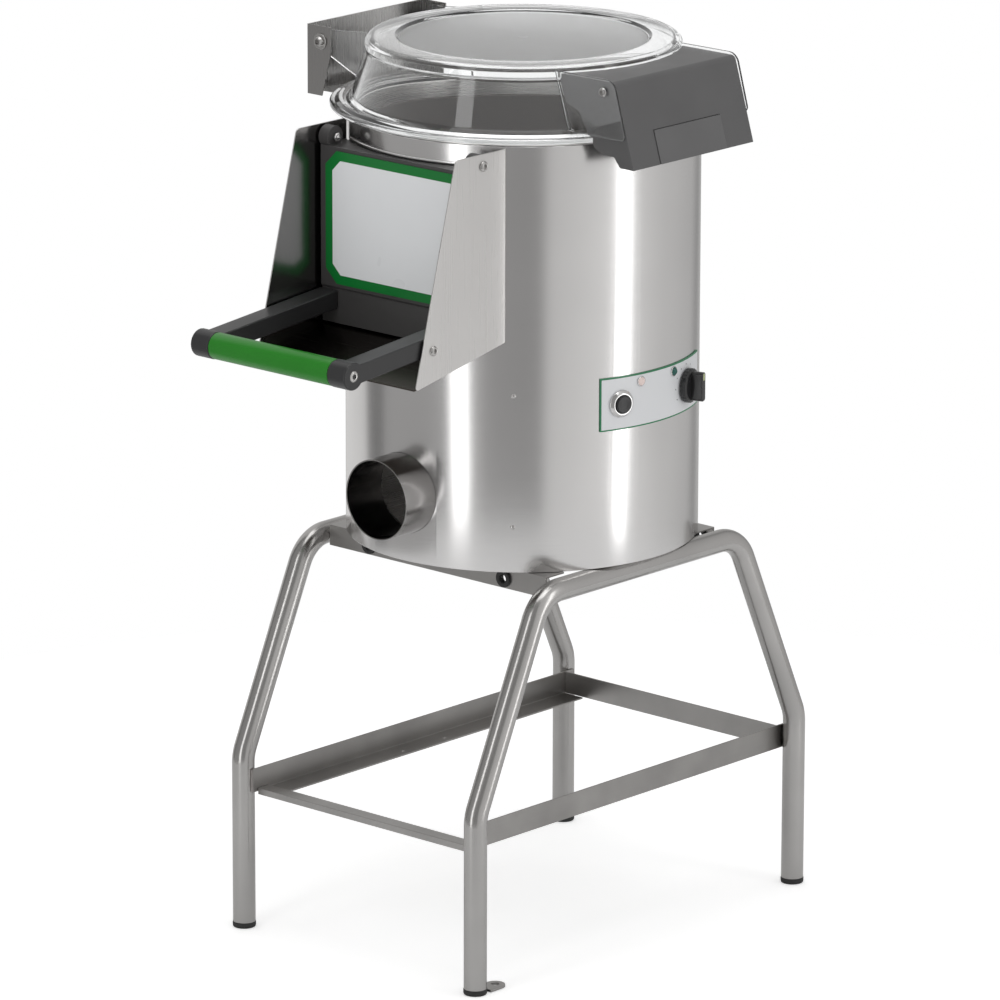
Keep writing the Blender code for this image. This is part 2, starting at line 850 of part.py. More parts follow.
def build_casing(machine, steel):
    doorway = box((-doorway_half, -drum_radius - cut_overrun, doorway_low_z),
                  (doorway_half, 0, doorway_high_z))
    near = lining_inner - sheet
    far = panel_outer + saddle_sheet + cut_overrun
    control_holes = [
        drum_hole(button_azimuth, button_z, barrel_radius + seat_gap, near, far),
        drum_hole(clear_lamp_azimuth, clear_lamp_z, lamp_barrel + seat_gap, near, far),
        drum_hole(green_lamp_azimuth, green_lamp_z, lamp_barrel + seat_gap, near, far),
        drum_hole(knob_azimuth, knob_z, spindle_radius + bush_wall + 2 * seat_gap, near, far)]
    cuts = {
        "doorway": tool("doorway", doorway, machine),
        "controls": tool("control_holes", merge(control_holes), machine),
        "spout": tool("spout_hole", rod(spout_radius + seat_gap, duct_front_y - cut_overrun, far,
                                        wheel_sides * 2, (0, 0, spout_z), radial_turn(0)), machine),
        "inlet": tool("inlet_hole", rod(inlet_radius + seat_gap, near, far, pin_sides * 2,
                                        (0, 0, inlet_z), radial_turn(math.pi)), machine),
        "gland": tool("gland_hole", drum_hole(gland_azimuth, gland_z, gland_radius + seat_gap, near, far),
                      machine)}
    casing = piece("casing_drum", ring(casing_inner, drum_radius, base_z, casing_top_z, drum_sides),
                   steel, machine)
    cut(casing, *cuts.values())

    plate_high = base_z + base_sheet
    skirt_inner = liner_outer - sheet
    profile = [(0, base_z), (liner_outer, base_z), (liner_outer, base_z + base_skirt),
               (skirt_inner, base_z + base_skirt), (skirt_inner, plate_high), (0, plate_high)]
    piece("base_plate", turned(profile, drum_sides), steel, machine)
    return cuts


def build_seal(machine, rubber):
    low = casing_top_z + sheet + 2 * seat_gap
    piece("rim_seal", ring(seal_inner, seal_outer, low, low + seal_height, drum_sides), rubber, machine)


# Peeling chamber, drain and disc

def build_chamber(machine, steel, grit, cuts):
    inner = chamber_radius - sheet
    pan_high = pan_z + sheet
    flange_low = casing_top_z + seat_gap
    flange_high = flange_low + sheet
    profile = [(inner, pan_high + seat_gap), (chamber_radius, pan_high + seat_gap),
               (chamber_radius, flange_low), (drum_radius, flange_low), (drum_radius, flange_high),
               (inner, flange_high)]
    chamber = piece("peeling_chamber", turned(profile, drum_sides), steel, machine)
    cut(chamber, cuts["doorway"], cuts["inlet"])
    lining = piece("abrasive_lining", ring(lining_inner, inner - seat_gap, lining_low_z, lining_high_z,
                                           drum_sides), grit, machine)
    cut(lining, cuts["doorway"], cuts["inlet"])

    # The pan closes the chamber's foot; its skirt is fixed to the casing
    hub = bearing_radius + seat_gap
    skirt_inner = liner_outer - sheet
    profile = [(hub, pan_z), (skirt_inner, pan_z), (skirt_inner, pan_z - pan_skirt),
               (liner_outer, pan_z - pan_skirt), (liner_outer, pan_high), (hub, pan_high)]
    pan = piece("drain_pan", turned(profile, drum_sides), steel, machine)
    inside = duct_half - sheet
    mouth = box((-inside + duct_lip, -duct_front_y + sheet + duct_lip, pan_z - cut_overrun),
                (inside - duct_lip, -duct_rear_y - sheet - duct_lip, pan_high + cut_overrun))
    margin = skirt_window_margin
    window = curved_plate(skirt_inner - sheet, casing_inner + sheet, panel_start - margin,
                          panel_end + margin, pan_z - pan_skirt - cut_overrun, pan_z - sheet)
    cut(pan, tool("drain_mouth", mouth, machine), tool("skirt_window", window, machine))

    duct_high = pan_z - seat_gap
    duct = piece("drain_duct", box((-duct_half, -duct_front_y, duct_floor_z),
                                   (duct_half, -duct_rear_y, duct_high)), steel, machine)
    hollow = box((-inside, -duct_front_y + sheet, duct_floor_z + sheet),
                 (inside, -duct_rear_y - sheet, duct_high + cut_overrun))
    bore = spout_radius - sheet
    outlet = rod(bore, duct_front_y - sheet - cut_overrun, duct_front_y + cut_overrun, wheel_sides,
                 (0, 0, spout_z), radial_turn(0))
    cut(duct, tool("duct_hollow", hollow, machine), tool("duct_outlet", outlet, machine))
    piece("drain_spout", ring(bore, spout_radius, duct_front_y + seat_gap, spout_mouth_y, wheel_sides * 2,
                              (0, 0, spout_z), radial_turn(0)), steel, machine)


def build_rotor(rotor, grit, steel, cast):
    bore = shaft_radius + seat_gap
    top = disc_high_z
    disc = piece("abrasive_disc", turned([
        (0, disc_low_z + disc_thickness / 2), (bore, disc_low_z + disc_thickness / 2),
        (bore, disc_low_z - disc_hub), (disc_hub_radius, disc_low_z - disc_hub),
        (disc_hub_radius, disc_low_z), (disc_radius, disc_low_z), (disc_radius, top), (0, top)],
        wheel_sides * 2), grit, rotor)
    ribs = []
    for i in range(rib_count):
        half = rib_width / 2
        section = [(-half, top - rib_height / 2), (half, top - rib_height / 2),
                   (half / 2, top + rib_height), (-half / 2, top + rib_height)]
        rib = raise_outline(section, "y", rib_start, rib_end)
        rib.transform(Matrix.Rotation(2 * math.pi * i / rib_count, 4, "Z"))
        ribs.append(rib)
    join(disc, tool("disc_ribs", merge(ribs), rotor))
    piece("drive_shaft", rod(shaft_radius, shaft_low_z, disc_low_z + disc_thickness / 2 - seat_gap,
                             tube_sides), steel, rotor)
    build_pulley("driven_pulley", driven_belt_radius, bore, rotor, cast)


def build_pulley(name, belt_radius, bore, holder, material):
    low = pulley_low_z
    high = low + pulley_height
    rim = belt_radius + pulley_lip
    place = (0, holder.matrix_basis.translation.y, 0)
    profile = [(bore, low), (rim, low), (rim, low + pulley_rim), (belt_radius, low + pulley_rim),
               (belt_radius, high - pulley_rim), (rim, high - pulley_rim), (rim, high), (bore, high)]
    piece(name, turned(profile, wheel_sides, place), material, holder)


def build_bearings(machine, cast, steel, rubber):
    seat = bearing_radius + seat_gap
    flange_high = pan_z - seat_gap
    flange_low = flange_high - housing_flange
    upper = flange_high - bearing_inset - bearing_height
    lower = housing_low_z + bearing_inset + bearing_height
    profile = [(housing_radius, housing_low_z), (housing_radius, flange_low),
               (housing_flange_radius, flange_low), (housing_flange_radius, flange_high),
               (seat, flange_high), (seat, upper), (housing_bore, upper), (housing_bore, lower),
               (seat, lower), (seat, housing_low_z)]
    piece("bearing_housing", turned(profile, wheel_sides), cast, machine)
    inner = shaft_radius + seat_gap
    lows = {"bearing_lower": lower - bearing_height - seat_gap, "bearing_upper": upper + seat_gap}
    for name, low in lows.items():
        piece(name, ring(inner, bearing_radius, low, low + bearing_height, wheel_sides), steel, machine)
    seal_low = upper + bearing_height + 2 * seat_gap
    piece("shaft_seal", ring(inner, bearing_radius, seal_low, seal_low + seal_ring_height, wheel_sides),
          rubber, machine)


def belt_loop(first, second):
    """Outline of a belt round two circles, the second at motor_y."""
    lean = math.asin((first - second) / motor_y)
    loop = arc_points(first, math.pi - lean, 2 * math.pi + lean, 2 * pulley_arc_steps)
    loop += arc_points(second, lean, math.pi - lean, pulley_arc_steps, (0, motor_y))
    return loop


def build_drive(machine, motor_axis, steel, cast, rubber, paint):
    low = pulley_low_z + pulley_rim + seat_gap
    high = pulley_low_z + pulley_height - pulley_rim - seat_gap
    first = driven_belt_radius + seat_gap
    second = motor_belt_radius + seat_gap
    inner = belt_loop(first, second)
    outer = belt_loop(first + belt_thickness, second + belt_thickness)
    rings = [[(x, y, z) for x, y in loop] for loop, z in
             ((inner, low), (outer, low), (outer, high), (inner, high))]
    piece("drive_belt", loft(rings, closed=True), rubber, machine)

    foot_z = base_z + base_sheet + seat_gap
    plate_high = plate_z + plate_thickness
    inside = plate_half_x - plate_thickness
    section = [(-plate_half_x, foot_z), (-plate_half_x, plate_high), (plate_half_x, plate_high),
               (plate_half_x, foot_z), (inside, foot_z), (inside, plate_z), (-inside, plate_z),
               (-inside, foot_z)]
    plate = piece("motor_plate", raise_outline(section, "y", plate_near_y, plate_far_y), steel, machine)
    hole = rod(plate_hole_radius, plate_z - cut_overrun, plate_high + cut_overrun, pin_sides * 2,
               (0, motor_y, 0))
    cut(plate, tool("plate_hole", hole, machine))

    motor_low = plate_high + seat_gap
    motor_high = motor_low + motor_height
    bore = motor_shaft_radius + seat_gap
    depth = motor_low + motor_shaft_inside + seat_gap
    body = [(0, motor_low), (motor_radius, motor_low), (motor_radius, motor_high - motor_cap),
            (motor_cap_radius, motor_high), (0, motor_high)]
    motor = piece("motor_housing", turned(body, wheel_sides, (0, motor_y, 0)), paint, machine)
    shaft_hole = rod(bore, motor_low - cut_overrun, depth, pin_sides, (0, motor_y, 0))
    cut(motor, tool("motor_bore", shaft_hole, machine))
    shaft_high = motor_low + motor_shaft_inside
    piece("motor_shaft", rod(motor_shaft_radius, pulley_low_z, shaft_high, pin_sides, (0, motor_y, 0)),
          steel, motor_axis)
    build_pulley("motor_pulley", motor_belt_radius, bore, motor_axis, cast)


# Water inlet and cable gland at the back

def build_back(machine, brass, black):
    seat = drum_radius + seat_gap
    body = turned([(inlet_bore, inlet_inner_y), (inlet_radius, inlet_inner_y), (inlet_radius, seat),
                   (inlet_nut_radius, seat), (inlet_nut_radius, seat + inlet_nut),
                   (inlet_thread_radius, seat + inlet_nut),
                   (inlet_thread_radius, seat + inlet_nut + inlet_thread),
                   (inlet_bore, seat + inlet_nut + inlet_thread)],
                  pin_sides, (0, 0, inlet_z), radial_turn(math.pi))
    piece("water_inlet", body, brass, machine)
    inner = casing_inner - gland_tail
    gland = turned([(gland_bore, inner), (gland_radius, inner), (gland_radius, seat),
                    (gland_hex_radius, seat), (gland_hex_radius, seat + gland_hex),
                    (gland_dome_radius, seat + gland_hex),
                    (gland_dome_radius, seat + gland_hex + gland_dome / 2),
                    (gland_radius, seat + gland_hex + gland_dome),
                    (gland_bore, seat + gland_hex + gland_dome)],
                   pin_sides, (0, 0, gland_z), radial_turn(gland_azimuth))
    piece("cable_gland", gland, black, machine)


# Lid

def lid_skin(offset):
    """Profile of the lid's outside from the crown's middle to its edge, grown by an offset."""
    return [(well_radius, well_z + offset), (crown_inner_radius - offset, crown_z + offset),
            (crown_outer_radius, crown_z + offset),
            (cone_high_radius + crown_step + offset, crown_edge_z + offset / 2),
            (cone_high_radius + crown_step + offset, cone_high_z + lid_edge_height / 2),
            (cone_high_radius + offset, cone_high_z), (cone_low_radius + offset, cone_low_z + offset / 2),
            (lid_bead_radius - lid_bead_width, lid_low_z + lid_edge_height + lid_edge_round + offset),
            (lid_bead_radius, lid_low_z + lid_bead_height + offset),
            (lid_bead_radius + lid_bead_width, lid_low_z + lid_edge_height + lid_edge_round + offset),
            (lid_edge_radius + offset, lid_low_z + lid_edge_height + offset)]


def cone_x(height, y):
    """Where the middle of the lid's wall is, at a height and at a distance from the middle plane."""
    share = (height - cone_low_z) / (cone_high_z - cone_low_z)
    radius = cone_low_radius + (cone_high_radius - cone_low_radius) * share - lid_wall / 2
    return math.sqrt(radius * radius - y * y)


def build_lid(lid, clear, dark):
    lid_inner = cone_low_radius - lid_wall
    profile = [(0, well_z - dimple_depth), (dimple_radius / 2, well_z - dimple_depth),
               (dimple_radius, well_z)] + lid_skin(0)
    profile += [(lid_edge_radius, lid_low_z + lid_edge_round), (lid_edge_radius - lid_edge_round, lid_low_z),
                (lid_inner, lid_low_z), (lid_inner, cone_low_z - lid_wall),
                (cone_high_radius - lid_wall, cone_high_z - lid_wall),
                (crown_outer_radius - lid_wall / 2, crown_z - lid_wall), (well_radius, well_z - lid_wall),
                (0, well_z - lid_wall)]
    dome = piece("lid_dome", turned(profile, lid_sides), clear, lid)
    ear_y = cover_half + seat_gap + ear_thickness / 2

    def cover_ear(side):
        low, high = sorted((side * (cover_half + seat_gap), side * (cover_half + seat_gap + ear_thickness)))
        corners = [(cone_x(ear_top_z, ear_y), ear_top_z), (ear_top_x, ear_top_z), (ear_low_x, ear_low_z),
                   (cone_x(ear_low_z, ear_y), ear_low_z)]
        return raise_outline(rounded(corners, [0, ear_top_corner, ear_low_corner, 0]), "y", low, high)

    hinge_outer = bracket_half - sheet - seat_gap
    hinge_mid = hinge_outer - hinge_ear_thickness / 2

    def hinge_ear(side):
        low, high = sorted((side * hinge_outer, side * (hinge_outer - hinge_ear_thickness)))
        tip = arc_points(hinge_ear_end, hinge_ear_round_start, hinge_ear_round_end, 2 * bend_steps,
                         (hinge_x, hinge_z))
        outline = [(-cone_x(ear_top_z, hinge_mid), ear_top_z)] + tip
        outline += [(-cone_x(hinge_ear_low_z, hinge_mid), hinge_ear_low_z)]
        return raise_outline(outline, "y", low, high)

    join(dome, tool("cover_ears", mirrored(cover_ear), lid), tool("hinge_ears", mirrored(hinge_ear), lid))
    pivot_tool = tool("hinge_ear_holes", mirrored(lambda side: rod(
        hinge_bolt_radius + seat_gap,
        *sorted((side * (hinge_mid - hinge_ear_thickness), side * (bracket_half + cut_overrun))), pin_sides,
        (hinge_x, 0, hinge_z), turn_to("y"))), lid)
    cut(dome, pivot_tool)
    build_cover(lid, dark)


def build_cover(lid, dark):
    corners = [(cover_start_x, cover_top_z), (cover_fold_x, cover_top_z), (cover_low_x, cover_low_z),
               (cover_low_x - cover_lip, cover_low_z), (cover_shoulder_x, cover_notch_z),
               (cover_notch_x, cover_notch_z), (cover_hook_x, cover_hook_z),
               (cover_throat_x, cover_throat_z), (cover_temple_x, cover_temple_z),
               (cover_brow_x, cover_brow_z), (cover_start_x, cover_brow_z)]
    radii = [0, cover_fold_radius, 0, cover_wall, cover_wall, 0, 0, 0, 0, 0, 0]
    cover = piece("lid_cover", raise_outline(rounded(corners, radii), "y", -cover_half, cover_half),
                  dark, lid)
    width = cover_half - cover_wall
    inside = cover_top_z - cover_wall
    lean = (cover_low_x - cover_fold_x) / (cover_top_z - cover_low_z)
    recess_x = cover_low_x - lean * (cover_recess_z - cover_low_z)
    recess_foot = (cover_low_x + lean * cut_overrun, cover_low_z - cut_overrun)
    recess = [(recess_x - cover_recess, cover_recess_z), (recess_foot[0] - cover_recess, recess_foot[1]),
              (recess_foot[0] + cut_overrun, recess_foot[1]), (recess_x + cut_overrun, cover_recess_z)]
    deep = cover_low_z - cut_overrun
    hollow = [(0, inside), (cover_fold_x - cover_wall, inside),
              (cover_fold_x - cover_wall + lean * (inside - deep), deep), (0, deep)]
    clearance = [(0, crown_z + cut_overrun), (cone_high_radius + crown_step + lid_clearance,
                                              crown_z + cut_overrun)]
    clearance += lid_skin(lid_clearance)[4:]
    clearance += [(lid_edge_radius + lid_clearance, cover_low_z - cut_overrun),
                  (0, cover_low_z - cut_overrun)]
    cut(cover, tool("cover_hollow", raise_outline(hollow, "y", -width, width), lid),
        tool("cover_clearance", turned(clearance, lid_sides), lid),
        tool("cover_recess", raise_outline(recess, "y", -cover_recess_half, cover_recess_half), lid))


def build_hinge(machine, steel, bright):
    inner_x = bracket_back_x + sheet
    half = bracket_half - sheet
    end_x = bracket_back_x + bracket_flange
    plan = [(bracket_back_x, -bracket_half), (end_x, -bracket_half), (end_x, -half), (inner_x, -half),
            (inner_x, half), (end_x, half), (end_x, bracket_half), (bracket_back_x, bracket_half)]
    bracket = piece("hinge_bracket", raise_outline(plan, "z", bracket_low_z, bracket_top_z), steel, machine)
    foot_x = bracket_back_x + bracket_foot
    slant = [(foot_x, bracket_low_z), (end_x, bracket_slant_z), (end_x + cut_overrun, bracket_slant_z),
             (end_x + cut_overrun, bracket_low_z - cut_overrun), (foot_x, bracket_low_z - cut_overrun)]
    reach = bracket_half + cut_overrun
    cut(bracket, tool("bracket_slant", raise_outline(slant, "y", -reach, reach), machine))

    # A shelf runs in under the lid's edge to a saddle riveted on the drum
    left = math.radians(270)
    saddle_in = drum_radius + seat_gap
    saddle_out = saddle_in + saddle_sheet
    saddle = curved_plate(saddle_in, saddle_out, left - saddle_half_angle, left + saddle_half_angle,
                          bracket_low_z - saddle_height, bracket_low_z + sheet)
    middle = (saddle_in + saddle_out) / 2
    shelf = []
    for azimuth in drum_angles(left - saddle_half_angle, left + saddle_half_angle):
        out = outward(azimuth)
        shelf.append((out.x * middle, out.y * middle))
    shelf += [(inner_x - sheet / 2, shelf[-1][1]), (inner_x - sheet / 2, shelf[0][1])]
    shelf_tool = raise_outline(shelf, "z", bracket_low_z, bracket_low_z + sheet)
    join(bracket, tool("bracket_shelf", shelf_tool, machine), tool("bracket_saddle", saddle, machine))
    bolt_holes = mirrored(lambda side: rod(
        hinge_bolt_radius + seat_gap, *sorted((side * (half - cut_overrun), side * reach)), pin_sides,
        (hinge_x, 0, hinge_z), turn_to("y")))
    cut(bracket, tool("bracket_bolt_holes", bolt_holes, machine))

    ear_inner = bracket_half - sheet - seat_gap - hinge_ear_thickness - seat_gap
    washer = bracket_half + seat_gap
    head = washer + hinge_washer

    profile = [(0, ear_inner - hinge_nut), (hinge_head_radius, ear_inner - hinge_nut),
               (hinge_head_radius, ear_inner), (hinge_bolt_radius, ear_inner),
               (hinge_bolt_radius, washer), (hinge_washer_radius, washer), (hinge_washer_radius, head),
               (hinge_head_radius, head), (hinge_head_radius, head + hinge_head / 2),
               (hinge_head_radius / 2, head + hinge_head), (0, head + hinge_head)]
    for side, name in ((-1, "hinge_bolt_front"), (1, "hinge_bolt_rear")):
        bolt = turned([(radius, side * distance) for radius, distance in profile], tube_sides,
                      (hinge_x, 0, hinge_z), turn_to("y"))
        piece(name, bolt, bright, machine)


# Chute

def chute_floor_z(y):
    """Height of the chute floor's underside at a distance in front of the drum's axis."""
    slope = (chute_root_z - chute_tip_z) / (chute_tip_y - chute_root_y())
    return chute_root_z - slope * (y - chute_root_y())


def chute_root_y():
    outer = chute_half + sheet
    return math.sqrt(drum_radius * drum_radius - chute_half * chute_half) + seat_gap + (outer - chute_half)


def build_chute(machine, steel, bright):
    root = chute_root_y()
    top_front = chute_top_front_y
    corners = [(-root, chute_root_z), (-chute_tip_y, chute_tip_z), (-top_front, chute_top_z),
               (-root, chute_top_z)]
    outline = rounded(corners, [0, chute_top_chamfer / 2, chute_top_chamfer, 0])
    pin_holes = tool("chute_pin_holes", mirrored(lambda side: rod(
        door_pin_radius + hole_clearance,
        *sorted((side * (chute_half - cut_overrun), side * (chute_half + sheet + cut_overrun))),
        pin_sides, (0, -door_pivot_y, door_pivot_z), turn_to("x"))), machine)
    for side, name in ((-1, "chute_side_left"), (1, "chute_side_right")):
        low, high = sorted((side * chute_half, side * (chute_half + sheet)))
        plate = piece(name, raise_outline(outline, "x", low, high), steel, machine)
        cut(plate, pin_holes)

    inside = chute_half - seat_gap
    section = [(-chute_tip_y, chute_tip_z), (-chute_tip_y, chute_tip_z + sheet),
               (0, chute_floor_z(0) + sheet), (0, chute_floor_z(0))]
    floor = piece("chute_floor", raise_outline(section, "x", -inside, inside), steel, machine)
    drum = rod(drum_radius + seat_gap, chute_tip_z - cut_overrun, chute_top_z, drum_sides)
    cut(floor, tool("chute_drum_cut", drum, machine))

    # The door swings on a shouldered pin in each side plate
    face = chute_half + sheet + seat_gap
    pin_inner = door_half + door_side_gap - door_lug_width
    profile = [(0, pin_inner), (door_pin_radius, pin_inner), (door_pin_radius, face),
               (screw_head_radius, face), (screw_head_radius, face + screw_head / 2),
               (screw_head_radius / 2, face + screw_head), (0, face + screw_head)]
    for side, name in ((-1, "door_pin_left"), (1, "door_pin_right")):
        pin = turned([(radius, side * reach) for radius, reach in profile], pin_sides,
                     (0, -door_pivot_y, door_pivot_z), turn_to("x"))
        piece(name, pin, bright, machine)


# Discharge door with its arms and grip

def build_door(door, dark, rubber, white, green):
    back = 0
    low_front = chute_floor_z(door_front_y) + sheet + door_floor_gap
    low_back = chute_floor_z(back) + sheet + door_floor_gap
    inset_y = door_front_y - door_step
    section = [(-door_front_y, door_top_z), (-door_front_y, door_step_z),
               (-inset_y, door_step_z - door_step), (-inset_y, low_front), (back, low_back),
               (back, door_top_z)]
    panel = piece("door_panel", raise_outline(section, "x", -door_half, door_half), dark, door)
    drum = rod(drum_radius + seat_gap + door_seal_thickness + seat_gap, chute_tip_z,
               door_pivot_z + door_lug_radius + cut_overrun, drum_sides)
    cut(panel, tool("door_drum_cut", drum, door))
    lug_outer = door_half + door_side_gap
    lugs = mirrored(lambda side: rod(
        door_lug_radius, *sorted((side * (lug_outer - door_lug_width), side * lug_outer)), pin_sides * 2,
        (0, -door_pivot_y, door_pivot_z), turn_to("x")))
    depth_radius = drum_radius - plug_depth
    half_angle = math.asin(plug_half / drum_radius)
    plug = curved_plate(depth_radius, drum_radius + seat_gap + door_seal_thickness + sheet, -half_angle,
                        half_angle, plug_low_z, plug_high_z)
    pins = mirrored(lambda side: rod(
        door_pin_radius + seat_gap,
        *sorted((side * (lug_outer - door_lug_width - cut_overrun), side * (lug_outer + cut_overrun))),
        pin_sides, (0, -door_pivot_y, door_pivot_z), turn_to("x")))
    join(panel, tool("door_lugs", lugs, door))
    cut(panel, tool("door_pin_holes", pins, door))
    join(panel, tool("door_plug", plug, door))

    # A rubber frame round the plug closes against the drum's wall
    seal_in = drum_radius + seat_gap
    seal_out = seal_in + door_seal_thickness
    frame_angle = math.asin((doorway_half + door_seal_width) / drum_radius)
    hole_angle = math.asin((plug_half + seat_gap) / drum_radius)
    seal = piece("door_seal", curved_plate(seal_in, seal_out, -frame_angle, frame_angle,
                                           doorway_low_z + door_seal_width, door_top_z), rubber, door)
    opening = curved_plate(seal_in - cut_overrun, seal_out + cut_overrun, -hole_angle, hole_angle,
                           doorway_low_z - door_seal_width - cut_overrun, plug_high_z + seat_gap)
    cut(seal, tool("door_seal_hole", opening, door))

    face = door_front_y + seat_gap
    corners = [(-label_half, label_low_z + label_corner), (-label_half, label_high_z - label_corner),
               (-label_half + label_corner, label_high_z), (label_half - label_corner, label_high_z),
               (label_half, label_high_z - label_corner), (label_half, label_low_z + label_corner),
               (label_half - label_corner, label_low_z), (-label_half + label_corner, label_low_z)]
    piece("door_label", raise_outline(corners, "y", -face - label_thickness, -face), white, door)
    build_arms(door, dark, green)


def build_arms(door, dark, green):
    root_y = door_front_y - door_step + seat_gap
    half = arm_height / 2
    along = Vector((-(handle_y - root_y), handle_z - arm_root_z)).normalized()
    across = Vector((-along.y, along.x)) * half
    start = Vector((-root_y, arm_root_z))
    end = Vector((-handle_y, handle_z))
    lift = abs(across.x)
    outline = [(-root_y, start.y + half + lift * abs(along.y)), (end + across * -1)[:], (end + across)[:],
               (-root_y, start.y - half + lift * abs(along.y))]
    recess = grip_tenon + seat_gap
    for side, name in ((-1, "door_arm_left"), (1, "door_arm_right")):
        low, high = sorted((side * arm_inner_x, side * arm_outer_x))
        arm = piece(name, raise_outline(outline, "x", low, high), dark, door)
        boss = rod(arm_boss_radius, low, high, wheel_sides, (0, -handle_y, handle_z), turn_to("x"))
        socket = rod(grip_tenon_radius + seat_gap,
                     *sorted((side * (arm_inner_x - cut_overrun), side * (arm_inner_x + recess))),
                     pin_sides * 2, (0, -handle_y, handle_z), turn_to("x"))
        join(arm, tool(name + "_boss", boss, door))
        cut(arm, tool(name + "_socket", socket, door))

    end_x = arm_inner_x - seat_gap
    tenon = arm_inner_x + grip_tenon
    piece("handle_grip", turned([
        (0, -tenon), (grip_tenon_radius, -tenon), (grip_tenon_radius, -end_x), (grip_radius, -end_x),
        (grip_radius, end_x), (grip_tenon_radius, end_x), (grip_tenon_radius, tenon), (0, tenon)],
        wheel_sides, (0, -handle_y, handle_z), turn_to("x")), green, door)


# Control panel

def build_controls(machine, holders, white, bright, black, glass, green_glass, cuts):
    seat = drum_radius + seat_gap
    panel = piece("control_panel", curved_plate(seat, panel_outer, panel_start, panel_end, panel_low_z,
                                                panel_high_z), white, machine)
    cut(panel, cuts["controls"])

    # Local height 0 is the panel's face
    bore = barrel_radius - barrel_wall
    floor_depth = cap_skirt + button_travel + seat_gap
    barrel = [(0, -barrel_depth), (barrel_radius, -barrel_depth), (barrel_radius, seat_gap),
              (bezel_radius, seat_gap), (bezel_radius, bezel_height / 2),
              (bezel_radius - bezel_height / 2, bezel_height), (bore, bezel_height), (bore, -floor_depth),
              (0, -floor_depth)]
    piece("button_bezel", turned(barrel, wheel_sides), bright, holders["bezel"], local=True)
    cap_radius = bore - seat_gap
    cap = [(0, -cap_skirt), (cap_radius, -cap_skirt), (cap_radius, cap_height),
           (cap_radius - cap_crown, cap_height + cap_crown), (0, cap_height + cap_crown)]
    piece("start_button", turned(cap, wheel_sides), black, holders["button"], local=True)

    lamp = [(0, -lamp_depth), (lamp_barrel, -lamp_depth), (lamp_barrel, seat_gap), (lamp_radius, seat_gap),
            (lamp_radius, lamp_rim), (lamp_radius - lamp_rim, lamp_dome - lamp_rim / 2),
            (lamp_rim, lamp_dome), (0, lamp_dome)]
    piece("lamp_clear", turned(lamp, pin_sides), glass, holders["clear_lamp"], local=True)
    piece("lamp_green", turned(lamp, pin_sides), green_glass, holders["green_lamp"], local=True)

    bush_inner = spindle_radius + seat_gap
    bush_outer = spindle_radius + bush_wall
    face = -timer_setback
    body = piece("timer_body", box((-timer_half, -timer_half, face - timer_depth),
                                   (timer_half, timer_half, face)), black, holders["timer"], local=True)
    bush = rod(bush_outer, face - cut_overrun, seat_gap, pin_sides)
    bore_cut = rod(bush_inner, -spindle_depth - seat_gap, cut_overrun, pin_sides)
    join(body, tool("timer_bush", bush, holders["timer"], local=True))
    cut(body, tool("timer_bore", bore_cut, holders["timer"], local=True))

    knob_low = knob_lift
    skirt_high = knob_low + knob_skirt
    knob = piece("timer_knob", turned([
        (0, -spindle_depth), (spindle_radius, -spindle_depth), (spindle_radius, knob_low),
        (knob_radius, knob_low), (knob_radius, skirt_high), (knob_top_radius, skirt_high + cap_crown),
        (0, skirt_high + cap_crown)], wheel_sides), black, holders["knob"], local=True)
    bar = box((-knob_bar_half, -knob_top_radius, skirt_high),
              (knob_bar_half, knob_top_radius, knob_low + knob_height))
    join(knob, tool("knob_bar", bar, holders["knob"], local=True))


